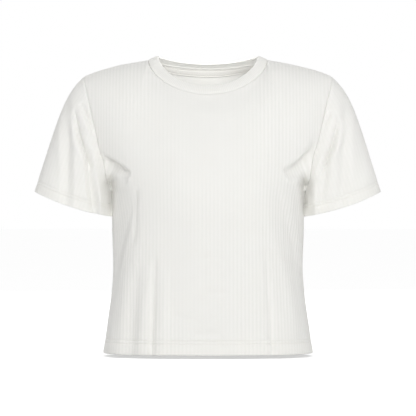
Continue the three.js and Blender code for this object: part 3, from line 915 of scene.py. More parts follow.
def shell(sheet: Sheet) -> bpy.types.Object:
    """Makes a closed wall from a sheet.

    The inner face is the sheet moved in by the cloth's thickness, with fewer columns. A folded
    edge is rounded over, and any other edge is cut square.

    Args:
        sheet: The sheet, whose column count leaves whole strides for the inner face.

    Returns:
        The new object, with a UV map in metres and the attributes that the ribs need.
    """
    normals = sheet.find_normals()
    rows, columns = sheet.points.shape[:2]
    thick = sheet.layers[:, None, None]
    inner = (sheet.points - normals * thick)[:, ::INNER_STRIDE]
    inner_columns = inner.shape[1]
    blocks = [sheet.points.reshape(-1, 3), inner.reshape(-1, 3)]
    across = [sheet.across.ravel(), sheet.across[:, ::INNER_STRIDE].ravel()]
    along = [sheet.along.ravel(), sheet.along[:, ::INNER_STRIDE].ravel()]
    relief = [sheet.relief.ravel(), np.zeros(inner.shape[0] * inner_columns)]
    start = rows * columns
    outer_id = np.arange(start).reshape(rows, columns)
    inner_id = start + np.arange(rows * inner_columns).reshape(rows, inner_columns)
    used = start + rows * inner_columns
    faces: list[list[int]] = []

    def wrapped(ids: Array) -> Array:
        """Index rows with their first column repeated at the end if they join up."""
        return np.concatenate([ids, ids[..., :1]], axis=-1) if sheet.closed else ids

    outer, within = wrapped(outer_id), wrapped(inner_id)
    faces += quads(outer[:-1, :-1], outer[:-1, 1:], outer[1:, 1:], outer[1:, :-1])
    faces += quads(within[:-1, :-1], within[1:, :-1], within[1:, 1:], within[:-1, 1:])

    for row, rounded in ((0, sheet.round_first), (-1, sheet.round_last)):
        inward = 1 if row == 0 else -2
        out = unit(sheet.points[row] - sheet.points[inward])
        half = sheet.layers[row] / 2
        rim = [outer[row]]
        for angle in RIM_ANGLES if rounded else ():
            turn = math.radians(angle)
            middle = sheet.points[row] - normals[row] * half
            curl = middle + normals[row] * half * math.cos(turn) + out * half * math.sin(turn)
            blocks.append(curl)
            across.append(sheet.across[row])
            along.append(sheet.along[row])
            relief.append(np.zeros(columns))
            rim.append(wrapped(used + np.arange(columns)))
            used += columns
        strips = []
        for near, far in zip(rim, rim[1:]):
            strips += quads(near[:-1], far[:-1], far[1:], near[1:])
        last, end = rim[-1], within[row]
        strips += np.stack([last[0:-1:2], end[:-1], last[1::2]], axis=1).tolist()
        strips += np.stack([last[1::2], end[:-1], end[1:], last[2::2]], axis=1).tolist()
        if rounded and not sheet.closed:
            strips.append([end[0]] + [ids[0] for ids in rim[::-1]])
            strips.append([ids[-1] for ids in rim] + [end[-1]])
        faces += strips if row == 0 else [face[::-1] for face in strips]

    if not sheet.closed:
        for o, i in ((outer_id[:, 0], inner_id[:, 0]), (outer_id[::-1, -1], inner_id[::-1, -1])):
            faces += quads(o[:-1], o[1:], i[1:], i[:-1])

    mesh = bpy.data.meshes.new(sheet.name)
    mesh.from_pydata((np.concatenate(blocks) * MM).tolist(), [], faces)
    u = np.concatenate(across) * MM
    v = np.concatenate(along) * MM
    for label, values in (("across", u), ("relief", np.concatenate(relief))):
        layer = mesh.attributes.new(label, "FLOAT", "POINT")
        layer.data.foreach_set("value", values.astype(np.float32))
    corners = np.empty(len(mesh.loops), np.int32)
    mesh.loops.foreach_get("vertex_index", corners)
    uv = mesh.uv_layers.new(name="cloth")
    uv.data.foreach_set("uv", np.stack([u[corners], v[corners]], axis=1).ravel().astype(np.float32))
    mesh.shade_smooth()
    mesh.validate()
    piece = bpy.data.objects.new(sheet.name, mesh)
    bpy.context.collection.objects.link(piece)
    return piece


def seam_dip(distance: Array, allowance: bool) -> Array:
    """How the cloth lies beside a seam: it dips at the seam, and may rise over the turnings.

    Args:
        distance: The distance from the seam.
        allowance: True on the side that the turnings are pressed to.

    Returns:
        How far each point moves out.
    """
    dip = -CLOTH.seam_sink * bell(distance, CLOTH.seam_reach)
    if allowance:
        past = distance - CLOTH.allowance + CLOTH.allowance_fade / 2
        fade = 1 - smooth_step(past, CLOTH.allowance_fade)
        dip = dip + CLOTH.allowance_rise * fade * smooth_step(distance, CLOTH.seam_reach)
    return dip


def stitch_dip(distance: Array, lines: Sequence[float]) -> Array:
    """How rows of stitches draw the cloth in, at distances from an edge."""
    return sum(-CLOTH.stitch_sink * bell(distance - line, CLOTH.stitch_reach) for line in lines)


def ribs_left(fold_gap: Array, lines: Sequence[float], *seam_gaps: Array) -> Array:
    """How much of the ribs is left near a folded edge, its rows of stitches and some seams.

    Args:
        fold_gap: The distance from the folded edge.
        lines: How far from that edge the rows of stitches are.
        seam_gaps: The distance from each seam.

    Returns:
        A share from 0 to 1 for each point.
    """
    left = smooth_step(fold_gap - CLOTH.fold_bare, CLOTH.fold_fade)
    for line in lines:
        left = left * (1 - CLOTH.stitch_flattens * bell(fold_gap - line, CLOTH.flat_reach))
    for gap in seam_gaps:
        left = left * smooth_step(gap - CLOTH.seam_bare, CLOTH.seam_fade)
    return left


@dataclass(frozen=True)
class RibStretch:
    """How high the ribs stand on the body: least over the chest, where they are stretched."""

    chest: float = 0.22
    waist: float = 0.6
    beside: float = 0.8  # added at the sides
    beside_from: float = 20.0
    beside_over: float = 95.0
    waist_from: float = -150.0
    waist_over: float = 90.0
    patches: int = 14
    patch: float = 0.12
    # how far a patch's wave turns for each millimetre, in radians
    patch_across: tuple[float, float] = (0.02, 0.06)
    patch_along: tuple[float, float] = (0.006, 0.02)
    least: float = 0.4
    most: float = 1.3

    def at(self, points: Array, rng: np.random.Generator) -> Array:
        """The ribs' height at points of the body.

        Args:
            points: The points.
            rng: The random numbers for the patches of higher and lower ribs.

        Returns:
            A share of the full height for each point.
        """
        x, z = points[..., 0], points[..., 2]
        beside = smooth_step(np.abs(x) - self.beside_from, self.beside_over)
        below = smooth_step(self.waist_from - z, self.waist_over)
        patches = np.zeros_like(x)
        for _ in range(self.patches):
            across, along = rng.uniform(*self.patch_across), rng.uniform(*self.patch_along)
            patches += np.sin(x * across + z * along * rng.choice((-1, 1)) + rng.uniform(0, 2 * math.pi))
        even = lerp(self.chest, self.waist, below) + self.beside * beside
        return even * np.clip(1 + self.patch * patches, self.least, self.most)


# ---------------------------------------------------------------------------- the body


class Rows(NamedTuple):
    """The shapes of some rows of the body, as arrays that are one column wide."""

    edge_z: Array
    centre_z: Array
    edge_x: Array
    edge_depth: Array
    depth: Array
    round: Array


# how many points stand in for a curve while the lengths along it are measured
WAIST_POINTS = 400
CHEST_POINTS = 300
SLEEVE_POINTS = 241
CUFF_POINTS = 721
NECK_POINTS = 600


@dataclass
class BodyCut:
    """What the front and the back share: the seams that join them, and the hem."""

    hem_z: float = -476.5
    hem_lines: tuple[float, float] = (18.5, 23.5)
    # how far above the folded edge the other low rows are: under, between and over the lines
    hem_under: tuple[float, ...] = (2, 4, 8, 12, 15.5, 17)
    hem_between: tuple[float, ...] = (20.4, 21.6)
    hem_over: tuple[float, ...] = (25, 26.5, 29)
    hem_end: float = 24.5  # rows below this are of double cloth, in a hem turned up 24 mm
    line_step: float = 0.8  # from a line of stitches to the rows on each side of it
    underarm_x: float = 158.0
    underarm_z: float = -215.0
    underarm_centre_z: float = -222.0
    shoulder: tuple[float, float, float] = (202.0, -4.0, -28.0)
    neck_point: tuple[float, float, float] = (97.0, -6.0, -1.0)
    shoulder_droop: float = 8.0
    shoulder_rise: float = 0.24
    armhole_square: float = 0.8
    armhole_lean: float = 0.78
    armhole_scoop: float = 2.5
    yoke_turn: float = 118.0
    neck_share: float = 0.45
    neck_columns: int = 98  # from the centre line, how many columns end on the neck seam
    side_columns: int = 120  # and how many end on the shoulder seam
    armhole_rows: int = 34
    yoke_rows: int = 12
    row_height: float = 4.6
    waist_z: float = -355.0  # the columns are spaced evenly here

    def shoulder_seam(self, t: Array) -> Array:
        """The shoulder seam.

        Args:
            t: Places on it, from 0 at the neck to 1 at the armhole.

        Returns:
            A point for each place.
        """
        (x0, y0, z0), (x1, y1, z1) = self.neck_point, self.shoulder
        fall = z1 - z0 + self.shoulder_droop
        return vector(lerp(x0, x1, t), lerp(y0, y1, t), z0 + fall * t - self.shoulder_droop * t**4)

    def hem_rows(self) -> Array:
        """How far each row of the hem lies above the folded edge, closer beside the stitches.

        Returns:
            The distances, rising.
        """
        steps = (-self.line_step, 0, self.line_step)
        first, second = ([line + step for step in steps] for line in self.hem_lines)
        under, between, over = self.hem_under, self.hem_between, self.hem_over
        return np.array([CLOTH.hem / 2, *under, *first, *between, *second, *over])


@dataclass
class Panel:
    """A body panel: its depths, its armhole and its neck seam."""

    cut: BodyCut
    face: Face
    name: str
    armhole_depth: float
    yoke_centre_z: float
    neck_y: float
    neck_z: float
    neck_fall: float
    neck_rise: float
    # how far below the top edge the last rows are; the tape has the same rows
    top_rows: tuple[float, ...] = (
        *(15.5, 15, 14, 13.2, 12.6, 12, 11.2, 9),
        *(6.8, 5, 3.7, 3, 2.4, 1.8, 1.2, 0.6, 0),
    )
    yoke_before: float = 0.96  # the yoke carries on from the way the cloth runs above this climb
    yoke_near: float = 0.84  # the top rows are spaced by the length of the yoke above this climb
    # the folds fade out beside the seams, over these widths
    seam_fade: float = 16.0
    armhole_fade: float = 13.0
    armhole_loss: float = 0.8
    side_over: float = 25.0  # how far above the underarm the side seam's fade gives way
    waviness: float = 0.45
    # the ribs run round the body below this level, and are even in breadth well above it
    breadth_from: float = -300.0
    breadth_over: float = 180.0
    breadth_climb: float = 0.7
    sheet: Sheet | None = None
    underarm_row: int = 0
    hem_gap: Array | None = None  # distance of each point above the folded edge
    top_gap: Array | None = None  # distance of each point below the top edge

    def level(self, name: str) -> Curve:
        """One of the body's level curves, such as "width", or this side's "depth" and "round"."""
        side = self.face.name.lower()
        return smooth_curve(LEVELS, {"depth": side, "round": f"{side}_round"}.get(name, name))

    def side_rows(self, z: Array) -> Rows:
        """Level rows between the hem and the underarm.

        Args:
            z: How high the rows are at the side seam.

        Returns:
            Their shapes.
        """
        climb = (z - self.cut.hem_z) / (self.cut.underarm_z - self.cut.hem_z)
        centre_z = lerp(self.cut.hem_z, self.cut.underarm_centre_z, climb)
        width, depth, power = (self.level(name)(centre_z) for name in ("width", "depth", "round"))
        return Rows(z, centre_z, width, np.zeros_like(z), depth, power)

    def armhole_rows(self, climb: Array) -> Rows:
        """Rows between the underarm and the yoke.

        Args:
            climb: How high they are, from 0 at the underarm to 1 at the yoke.

        Returns:
            Their shapes.
        """
        cut = self.cut
        turn = np.radians(cut.yoke_turn * climb - 90)
        share = (1 + np.sin(turn)) / 2
        centre_z = lerp(cut.underarm_centre_z, self.yoke_centre_z, climb)
        leaning = lerp(cut.underarm_x, cut.shoulder[0], share**cut.armhole_lean)
        return Rows(
            lerp(cut.underarm_z, cut.shoulder[2], share),
            centre_z,
            leaning - cut.armhole_scoop * np.sin(math.pi * share),
            self.armhole_depth * np.maximum(np.cos(turn), 0) ** cut.armhole_square,
            self.level("depth")(centre_z),
            self.level("round")(centre_z),
        )

    def on_rows(self, rows: Rows, side: Array) -> Array:
        """Points on rows of the body.

        Args:
            rows: The rows' shapes.
            side: The place along each row, from -1 to 1 and 0 on the centre line.

        Returns:
            The points, a row for each of rows.
        """
        power = 2 / rows.round
        turn = np.arccos((rows.edge_depth / rows.depth) ** (1 / power))
        away = np.maximum(np.abs(side), TINY)
        across = (np.sin(turn * away) / np.sin(turn)) ** power
        depth = rows.depth * np.maximum(np.cos(turn * away), 0) ** power
        height = lerp(rows.centre_z, rows.edge_z, across**2)
        return vector(np.sign(side) * rows.edge_x * across, self.face.value * depth, height)

    def neck_seam(self, t: Array) -> Array:
        """One half of the neck seam.

        Args:
            t: Places on it, from 0 at the centre to 1 at the shoulder seam.

        Returns:
            A point for each place.
        """
        x, y, z = self.cut.neck_point
        turn = np.radians(90 * np.clip(t, 0, 1))
        return vector(
            x * np.sin(turn),
            lerp(y, self.neck_y, np.cos(turn)),
            lerp(z, self.neck_z, np.maximum(np.cos(turn), 0) ** self.neck_fall),
        )

    def top_edge(self, side: Array) -> tuple[Array, Array]:
        """The top edge: the neck seam, and the shoulder seams beyond it.

        Args:
            side: The columns, from -1 to 1.

        Returns:
            Its points, and the way that the cloth arrives at each.
        """
        cut, facing = self.cut, self.face.value
        away = np.abs(side)
        over = unit(np.array([0, -facing, -facing * cut.shoulder_rise]))
        up = unit(np.array([0, -facing, self.neck_rise]))
        t = np.clip(away / cut.neck_share, 0, 1)[:, None]
        on_neck = (away < cut.neck_share)[:, None]
        seam = cut.shoulder_seam((away - cut.neck_share) / (1 - cut.neck_share))
        at = np.where(on_neck, self.neck_seam(t[:, 0]), seam)
        at[:, 0] *= np.sign(side)
        return at, np.where(on_neck, unit(lerp(up, over, t * t)), over)

    def on_yoke(self, side: Array, climb: Array) -> Array:
        """Points over the shoulder.

        Args:
            side: The columns, from -1 to 1.
            climb: How high the points are, from 0 at the yoke to 1 at the top edge.

        Returns:
            The points.
        """
        start = self.on_rows(self.armhole_rows(np.array([[1.0]])), side)[0]
        before = self.on_rows(self.armhole_rows(np.array([[self.yoke_before]])), side)[0]
        at, way = self.top_edge(side)
        reach = np.linalg.norm(at - start, axis=-1, keepdims=True)
        return hermite(start, unit(start - before) * reach, at, way * reach, climb)

    def columns(self) -> Array:
        """The columns of the panel, evenly spaced round the waist.

        Returns:
            Values of side, from -1 to 1 or the other way.
        """
        cut = self.cut
        waist = self.side_rows(np.array([[cut.waist_z]]))
        halves = []
        for low, high, count in (
            (0, cut.neck_share, cut.neck_columns),
            (cut.neck_share, 1, cut.side_columns),
        ):
            trial = np.linspace(low, high, WAIST_POINTS)
            line = self.on_rows(waist, trial)[0]
            halves.append(lerp(low, high, evenly_along(line, count + 1)))
        half = np.concatenate([halves[0], halves[1][1:]])
        whole = np.concatenate([-half[:0:-1], half])
        return whole if self.face is FRONT else whole[::-1]

    def lay_points(self) -> Array:
        """Lays out the panel's points, before any fold or seam is pressed in.

        Returns:
            The grid of points, from the hem up.
        """
        cut = self.cut
        side = self.columns()
        hem = cut.hem_rows()
        span = cut.underarm_z - cut.hem_z
        rises = np.concatenate([hem, np.arange(hem[-1] + cut.row_height, span - 1, cut.row_height)])
        self.underarm_row = len(rises)
        climbs = np.arange(cut.armhole_rows) / cut.armhole_rows
        body = self.on_rows(self.side_rows(cut.hem_z + rises[:, None]), side)
        chest = self.on_rows(self.armhole_rows(climbs[:, None]), side)
        near = np.array([self.yoke_near])
        left_over = np.linalg.norm(self.on_yoke(side, near) - self.top_edge(side)[0], axis=-1)
        below = np.array(self.top_rows)
        last = np.clip(1 - below[:, None] * (1 - near) / left_over, 0, 1)
        first = np.arange(cut.yoke_rows)[:, None] / cut.yoke_rows * last[:1]
        yoke = self.on_yoke(side, np.concatenate([first, last]))
        return np.concatenate([body, chest, yoke])

    def make_sheet(self, rng: np.random.Generator) -> Sheet:
        """Builds the panel's sheet, with its folds, seams and hem pressed in.

        Args:
            rng: The random numbers for unevenness.

        Returns:
            The sheet, which the panel keeps.
        """
        cut = self.cut
        points = self.lay_points()
        ring, column = length_along(points, 1), length_along(points, 0)
        centre = ring[:, cut.neck_columns + cut.side_columns][:, None]
        self.hem_gap = column + CLOTH.hem / 2
        self.top_gap = column[-1] - column
        edge_gap = np.minimum(ring, ring[:, -1:] - ring)
        across = self.rib_places(points, (ring - centre) * -self.face.value)
        layers = np.where(self.hem_gap[:, 0] < cut.hem_end, CLOTH.hem, CLOTH.single)
        relief = ribs_left(self.hem_gap, cut.hem_lines, edge_gap, self.top_gap)
        relief = relief * RibStretch().at(points, rng)
        sheet = Sheet(self.name, points, layers, False, across, self.hem_gap, relief, round_first=True)

        folds = sheet.fold_depths()
        waves = sheet.unevenness(rng, self.waviness)
        sheet.move_out((folds + waves) * self.folds_kept(edge_gap))
        back = self.face is BACK  # the turnings are pressed to the back
        seams = np.minimum(seam_dip(edge_gap, back), seam_dip(self.top_gap, back))
        sheet.move_out(seams + stitch_dip(self.hem_gap, cut.hem_lines))
        self.trim(sheet)
        self.sheet = sheet
        return sheet

    def folds_kept(self, edge_gap: Array) -> Array:
        """How much of the folds is left beside the seams.

        Args:
            edge_gap: The distance from the side seam or the armhole.

        Returns:
            A share from 0 to 1 for each point.
        """
        above = self.hem_gap - (self.cut.underarm_z - self.cut.hem_z)
        on_side = 1 - smooth_step(above, self.side_over)
        by_side = on_side * (1 - smooth_step(edge_gap, self.seam_fade))
        by_armhole = self.armhole_loss * (1 - on_side) * (1 - smooth_step(edge_gap, self.armhole_fade))
        return (1 - by_side) * (1 - by_armhole) * smooth_step(self.top_gap, self.seam_fade)

    def rib_places(self, points: Array, signed: Array) -> Array:
        """Distances across the ribs: round the body low down, and by breadth over the chest.

        Args:
            points: The panel's points.
            signed: How far each is round the body from the centre line.

        Returns:
            A distance for each point.
        """
        trial = np.linspace(0, 1, CHEST_POINTS)
        chest = self.on_rows(self.armhole_rows(np.array([[self.breadth_climb]])), trial)[0]
        run = length_along(chest, 0)
        breadth = np.abs(points[..., 0])
        beyond = np.maximum(breadth - chest[-1, 0], 0)
        spread = np.interp(breadth, chest[:, 0], run) + beyond
        high = smooth_step(points[..., 2] - self.breadth_from, self.breadth_over)
        return lerp(signed, np.sign(points[..., 0]) * spread, high)

    def trim(self, sheet: Sheet) -> None:
        """Trims the side and shoulder seams back by half the seam gap.

        Args:
            sheet: The panel's sheet, whose points are changed.
        """
        grid = sheet.points
        half = CLOTH.seam_gap / 2
        low = slice(0, self.underarm_row + 1)
        for edge, inward in ((0, 1), (-1, -2)):
            grid[low, edge] += unit(grid[low, inward] - grid[low, edge]) * half
        grid[-1] += unit(grid[-2] - grid[-1]) * half

    def armhole(self, left: bool) -> tuple[Array, Array]:
        """One armhole on this panel, from the underarm to the shoulder.

        Args:
            left: True for the armhole of the wearer's left arm.

        Returns:
            Its points and their normals.
        """
        first = self.sheet.points[self.underarm_row, 0, 0] > 0
        column = 0 if first == left else -1
        rows = slice(self.underarm_row, None)
        return self.sheet.points[rows, column].copy(), self.sheet.normals[rows, column].copy()

    def inner_patch(self) -> tuple[Array, Array]:
        """The inner face under the neck seam, where the tape lies.

        Returns:
            Its points and their outward normals.
        """
        first = self.cut.side_columns
        last = first + 2 * self.cut.neck_columns
        rows = slice(-len(self.top_rows), None)
        normals = self.sheet.normals[rows, first : last + 1]
        return self.sheet.points[rows, first : last + 1] - normals * CLOTH.single, normals


# ---------------------------------------------------------------------------- the sleeves


@dataclass
class Sleeve:
    """A set-in sleeve, worked out for the side at +X and mirrored for the other."""

    name: str
    left: bool
    cuff_x: float = 220.0
    cuff_y: float = -4.0
    cuff_z: float = -235.1
    cuff_half: float = 65.0
    cuff_depth: float = 42.0
    cuff_bow: float = 5.0
    tilt: float = 18.0
    gap: float = -0.25
    hem: float = 20.0
    hem_lines: tuple[float, float] = (14.0, 19.0)
    # below the underarm the inner edge hangs a little in front of the body's side
    tip_x: float = 157.5
    tip_z: float = -216.0
    tip_width: float = 7.0
    tip_drop: float = 10.0
    tip_shift: tuple[float, float, float] = (1.8, 3.0, 0.0)
    # how far from the folded edge the other last rows are: over, between and under the lines
    hem_over: tuple[float, ...] = (20.6, 19.7)
    hem_between: tuple[float, ...] = (17.4, 15.6)
    hem_under: tuple[float, ...] = (11, 8, 5, 2.5)
    line_step: float = 0.8  # from a line of stitches to the rows beside it
    fold_fade: float = 14.0  # the folds fade out over this width beside the armhole
    waviness: float = 0.35
    rib_share: float = 0.45  # the sleeves' ribs are stretched flatter than the body's
    half_columns: int = 270
    arm_rows: int = 58
    sheet: Sheet | None = None
    cuff_gap: Array | None = None  # distance of each point above the folded edge

    def lines(self, share: Array, at: Array, normal: Array, facing: Array) -> Callable[[Array], Array]:
        """The lines of cloth that run from the armhole to the cuff.

        Args:
            share: For each line, the share of the way from the underarm to the shoulder.
            at: Where each line starts on the armhole.
            normal: The body's outward normal there.
            facing: -1 for the front lines and 1 for the back ones.

        Returns:
            A function from places along the lines, 0 to 1, to points.
        """
        tilt = math.radians(self.tilt)
        across = np.array([math.cos(tilt), 0, math.sin(tilt)])
        down_arm = np.array([math.sin(tilt), 0, -math.cos(tilt)])
        turn = math.pi * share
        end = vector(self.cuff_x, self.cuff_y + facing * self.cuff_depth * np.sin(turn), self.cuff_z)
        end = end - self.cuff_half * np.cos(turn)[:, None] * across
        end = end + self.cuff_bow * (np.sin(turn) ** 2)[:, None] * down_arm
        out, forward, down, pull, hold = (
            smooth_curve(SLEEVE_STARTS, name)(share) for name in SleeveStart._fields[1:]
        )
        leave = unit(vector(out, facing * forward, -down))
        start = at + leave * self.gap + normal * (self.gap * (1 - share))[:, None]
        reach = 3 * np.linalg.norm(end - start, axis=-1)
        return lambda t: hermite(
            start, leave * (pull * reach)[:, None], end, down_arm * (hold * reach)[:, None], t
        )

    def make_sheet(self, front: Panel, back: Panel, rng: np.random.Generator) -> Sheet:
        """Builds the sleeve's sheet from the two panels' armholes.

        Args:
            front: The front panel, with its sheet made.
            back: The back panel, with its sheet made.
            rng: The random numbers for unevenness.

        Returns:
            The sheet, which the sleeve keeps.
        """
        mirror = np.array([1.0 if self.left else -1.0, 1, 1])
        shares = np.arange(self.half_columns) / self.half_columns
        parts = []
        # Round the armhole once: down the front from the shoulder, then up the back.
        for panel, share in ((front, 1 - shares), (back, shares)):
            points, normals = (side * mirror for side in panel.armhole(self.left))
            run = length_along(points, 0)
            spread = [np.interp(share * run[-1], run, c) for c in np.concatenate([points, normals], 1).T]
            grid = np.stack(spread, axis=1)
            facing = np.full_like(share, panel.face.value)
            parts.append((share, grid[:, :3], unit(grid[:, 3:]), facing))
        line = self.lines(*(np.concatenate(column) for column in zip(*parts)))

        trial = np.linspace(0, 1, SLEEVE_POINTS)
        paths = line(trial[:, None])
        left_over = np.linalg.norm(paths - paths[-1], axis=-1)
        hem_at = np.array([np.interp(-self.hem, -left_over[:, i], trial) for i in range(paths.shape[1])])
        arm = hem_at * np.arange(self.arm_rows)[:, None] / self.arm_rows
        (low, high), step = self.hem_lines, self.line_step
        upper = (*self.hem_over, high, high - step, *self.hem_between)
        turned = np.array([*upper, low + step, low, low - step, *self.hem_under, CLOTH.hem / 2])
        hem = 1 - (1 - hem_at) * turned[:, None] / self.hem
        points = line(np.concatenate([arm, hem]))
        beside = bell(points[..., 0] - self.tip_x, self.tip_width)
        inner = beside * smooth_step(self.tip_z - points[..., 2], self.tip_drop)
        points = points - inner[..., None] * np.array(self.tip_shift)
        column = length_along(points, 0)
        self.cuff_gap = column[-1] - column + turned[-1]
        across = self.rib_places(points)
        layers = np.full(len(points), CLOTH.single)
        layers[self.arm_rows + 1 :] = CLOTH.hem
        if not self.left:
            points = (points * mirror)[:, ::-1]
            across, column, self.cuff_gap = (a[:, ::-1] for a in (across, column, self.cuff_gap))
        relief = ribs_left(self.cuff_gap, self.hem_lines, column) * self.rib_share
        sheet = Sheet(self.name, points, layers, True, across, column, relief, round_last=True)
        kept = smooth_step(column, self.fold_fade)
        sheet.move_out((sheet.fold_depths() + sheet.unevenness(rng, self.waviness)) * kept)
        sheet.move_out(seam_dip(column, True) + stitch_dip(self.cuff_gap, self.hem_lines))
        self.sheet = sheet
        return sheet

    def rib_places(self, points: Array) -> Array:
        """Distances across the sleeve's ribs, which run along the arm.

        Args:
            points: The sleeve's points, on the side at +X.

        Returns:
            A distance round the cuff for each point.
        """
        tilt = math.radians(self.tilt)
        off = points - np.array([self.cuff_x, self.cuff_y, self.cuff_z])
        across = off[..., 0] * math.cos(tilt) + off[..., 2] * math.sin(tilt)
        angle = np.arctan2(off[..., 1] / self.cuff_depth, across / self.cuff_half)
        turns = np.linspace(-math.pi, math.pi, CUFF_POINTS)
        oval = vector(self.cuff_half * np.cos(turns), self.cuff_depth * np.sin(turns), 0 * turns)
        return np.interp(angle, turns, length_along(oval, 0))


# ---------------------------------------------------------------------------- the neck


@dataclass
class NeckBand:
    """The crew neck band: rib folded double, standing up from the neck seam."""

    name: str = "neck_band"
    edge_x: float = 81.0
    edge_y: float = -4.0
    edge_z: float = 6.5
    front_y: float = -54.0
    front_z: float = -43.0
    back_y: float = 50.0
    back_z: float = -3.0
    bulge: float = 1.0
    ribs_from: float = 0.4  # the ribs start this far above the seam
    ribs_over: float = 2.0  # and reach their height over this much more
    columns: int = 900
    rows: tuple[float, ...] = (0, 0.04, 0.09, 0.15, 0.22, 0.3, 0.36, 0.42, 0.5, 0.6, 0.7, 0.8, 0.88, 0.95)
    sheet: Sheet | None = None

    def make_sheet(self, front: Panel, back: Panel) -> Sheet:
        """Builds the band's sheet on the neck seam of the two panels.

        Args:
            front: The front panel.
            back: The back panel.

        Returns:
            The sheet, which the band keeps.
        """
        seam, edge = [], []
        for panel, y, z in ((front, self.front_y, self.front_z), (back, self.back_y, self.back_z)):
            t = np.linspace(-1, 1, NECK_POINTS)[:-1]
            turn = np.radians(90 * np.abs(t))
            side = -np.sign(t) * panel.face.value
            low = panel.neck_seam(np.abs(t))
            low[:, 0] *= side
            fall = np.maximum(np.cos(turn), 0) ** panel.neck_fall
            high = vector(
                side * self.edge_x * np.sin(turn),
                lerp(self.edge_y, y, np.cos(turn)),
                lerp(self.edge_z, z, fall),
            )
            seam.append(low)
            edge.append(high)
        low, high = np.concatenate(seam), np.concatenate(edge)
        low, high = (np.concatenate([side, side[:1]]) for side in (low, high))
        run = length_along(low, 0)
        places = np.arange(self.columns) * run[-1] / self.columns
        low, high = (np.stack([np.interp(places, run, c) for c in side.T], axis=1) for side in (low, high))
        low = low + unit(high - low) * CLOTH.seam_gap / 4
        share = np.array(self.rows)[:, None]
        points = lerp(low[None], high[None], share[..., None])
        width = np.linalg.norm(high - low, axis=-1)
        climb = share * width
        around = np.broadcast_to(places, climb.shape)
        relief = smooth_step(climb - self.ribs_from, self.ribs_over)
        layers = np.full(len(points), CLOTH.band)
        sheet = Sheet(self.name, points, layers, True, around, climb, relief, round_last=True)
        sheet.move_out(self.bulge * np.sin(math.pi * share) + seam_dip(climb, True))
        self.sheet = sheet
        return sheet


@dataclass
class NeckTape:
    """The tape that covers the neck seam inside the back, with a row of stitches by each edge."""

    name: str = "neck_tape"
    gap: float = 0.9
    inset: int = 4  # how many of the panel's columns it stops short of the shoulder seams
    line_rows: tuple[int, int] = (3, 11)
    sink: float = 0.6
    sink_reach: float = 0.9
    sheet: Sheet | None = None

    def make_sheet(self, back: Panel) -> Sheet:
        """Builds the tape's sheet on the inner face of the back panel.

        Args:
            back: The back panel, with its sheet made.

        Returns:
            The sheet, which the tape keeps.
        """
        points, normals = (grid[:, self.inset : -self.inset] for grid in back.inner_patch())
        points = points - normals * self.gap
        ring, column = length_along(points, 1), length_along(points, 0)
        layers = np.full(len(points), CLOTH.tape)
        relief = np.zeros(ring.shape)
        self.sheet = Sheet(self.name, points, layers, False, ring, column, relief)
        for row in self.line_rows:
            self.sheet.move_out(self.sink * bell(column - column[row], self.sink_reach))
        return self.sheet


# ---------------------------------------------------------------------------- stitching


@dataclass
class StitchRun:
    """A line of stitches on the cloth."""

    points: Array
    outward: Array
    closed: bool


# how far the middle of a thread lies off the cloth
STITCH_LIFT = 0.05
LOOP_LIFT = 0.1


def run_on(sheet: Sheet, row: int, inside: bool = False) -> StitchRun:
    """A run of stitches along one row of a sheet.

    Args:
        sheet: The sheet.
        row: The row.
        inside: True for the inner face.

    Returns:
        The run.
    """
    normals = sheet.normals[row]
    if inside:
        points = sheet.points[row] - normals * (sheet.layers[row] + STITCH_LIFT)
        return StitchRun(points, -normals, sheet.closed)
    return StitchRun(sheet.points[row] + normals * STITCH_LIFT, normals, sheet.closed)


def zigzag_on(sheet: Sheet, low: int, high: int, pitch: float) -> StitchRun:
    """The looping thread on the inner face of a hem, to and fro between its two rows of stitches.

    Args:
        sheet: The sheet.
        low: One row of stitches.
        high: The other.
        pitch: The distance along the rows that it takes to come back.

    Returns:
        The run.
    """
    run = length_along(sheet.points[low], 0)
    places = np.arange(0, run[-1], pitch / 2)
    column = np.searchsorted(run, places).clip(0, len(run) - 1)
    row = np.where(np.arange(len(places)) % 2, low, high)
    normals = sheet.normals[row, column]
    points = sheet.points[row, column] - normals * (sheet.layers[row][:, None] + LOOP_LIFT)
    return StitchRun(points, -normals, False)


@dataclass
class Stitching:
    """All the stitches of one piece, as one object."""

    name: str
    runs: Sequence[StitchRun]
    pitch: float = 2.8
    length: float = 2.5
    thickness: float = 0.5

    def build(self, tree: bpy.types.NodeTree, material: bpy.types.Material) -> bpy.types.Object:
        """Builds the stitches along their runs.

        Args:
            tree: The node tree that lays them.
            material: The thread.

        Returns:
            The new object.
        """
        edges, start = [], 0
        for run in self.runs:
            count = len(run.points)
            ids = np.arange(start, start + count)
            edges += np.stack([ids[:-1], ids[1:]], axis=1).tolist()
            if run.closed:
                edges.append([start + count - 1, start])
            start += count
        mesh = bpy.data.meshes.new(self.name)
        points = np.concatenate([run.points for run in self.runs]) * MM
        mesh.from_pydata(points.tolist(), edges, [])
        outward = mesh.attributes.new("outward", "FLOAT_VECTOR", "POINT")
        normals = np.concatenate([run.outward for run in self.runs]).astype(np.float32)
        outward.data.foreach_set("vector", normals.ravel())
        piece = bpy.data.objects.new(self.name, mesh)
        bpy.context.collection.objects.link(piece)
        sizes = {"Pitch": self.pitch * MM, "Length": self.length * MM, "Thickness": self.thickness * MM}
        apply_tree(piece, tree, {**sizes, "Seed": SEED, "Material": material})
        piece.data.shade_smooth()
        return piece


# ---------------------------------------------------------------------------- the garment


class Flat(NamedTuple):
    """A cut laid flat: width and length in metres, and its area where it isn't a rectangle."""

    width: float
    length: float
    area: float | None = None


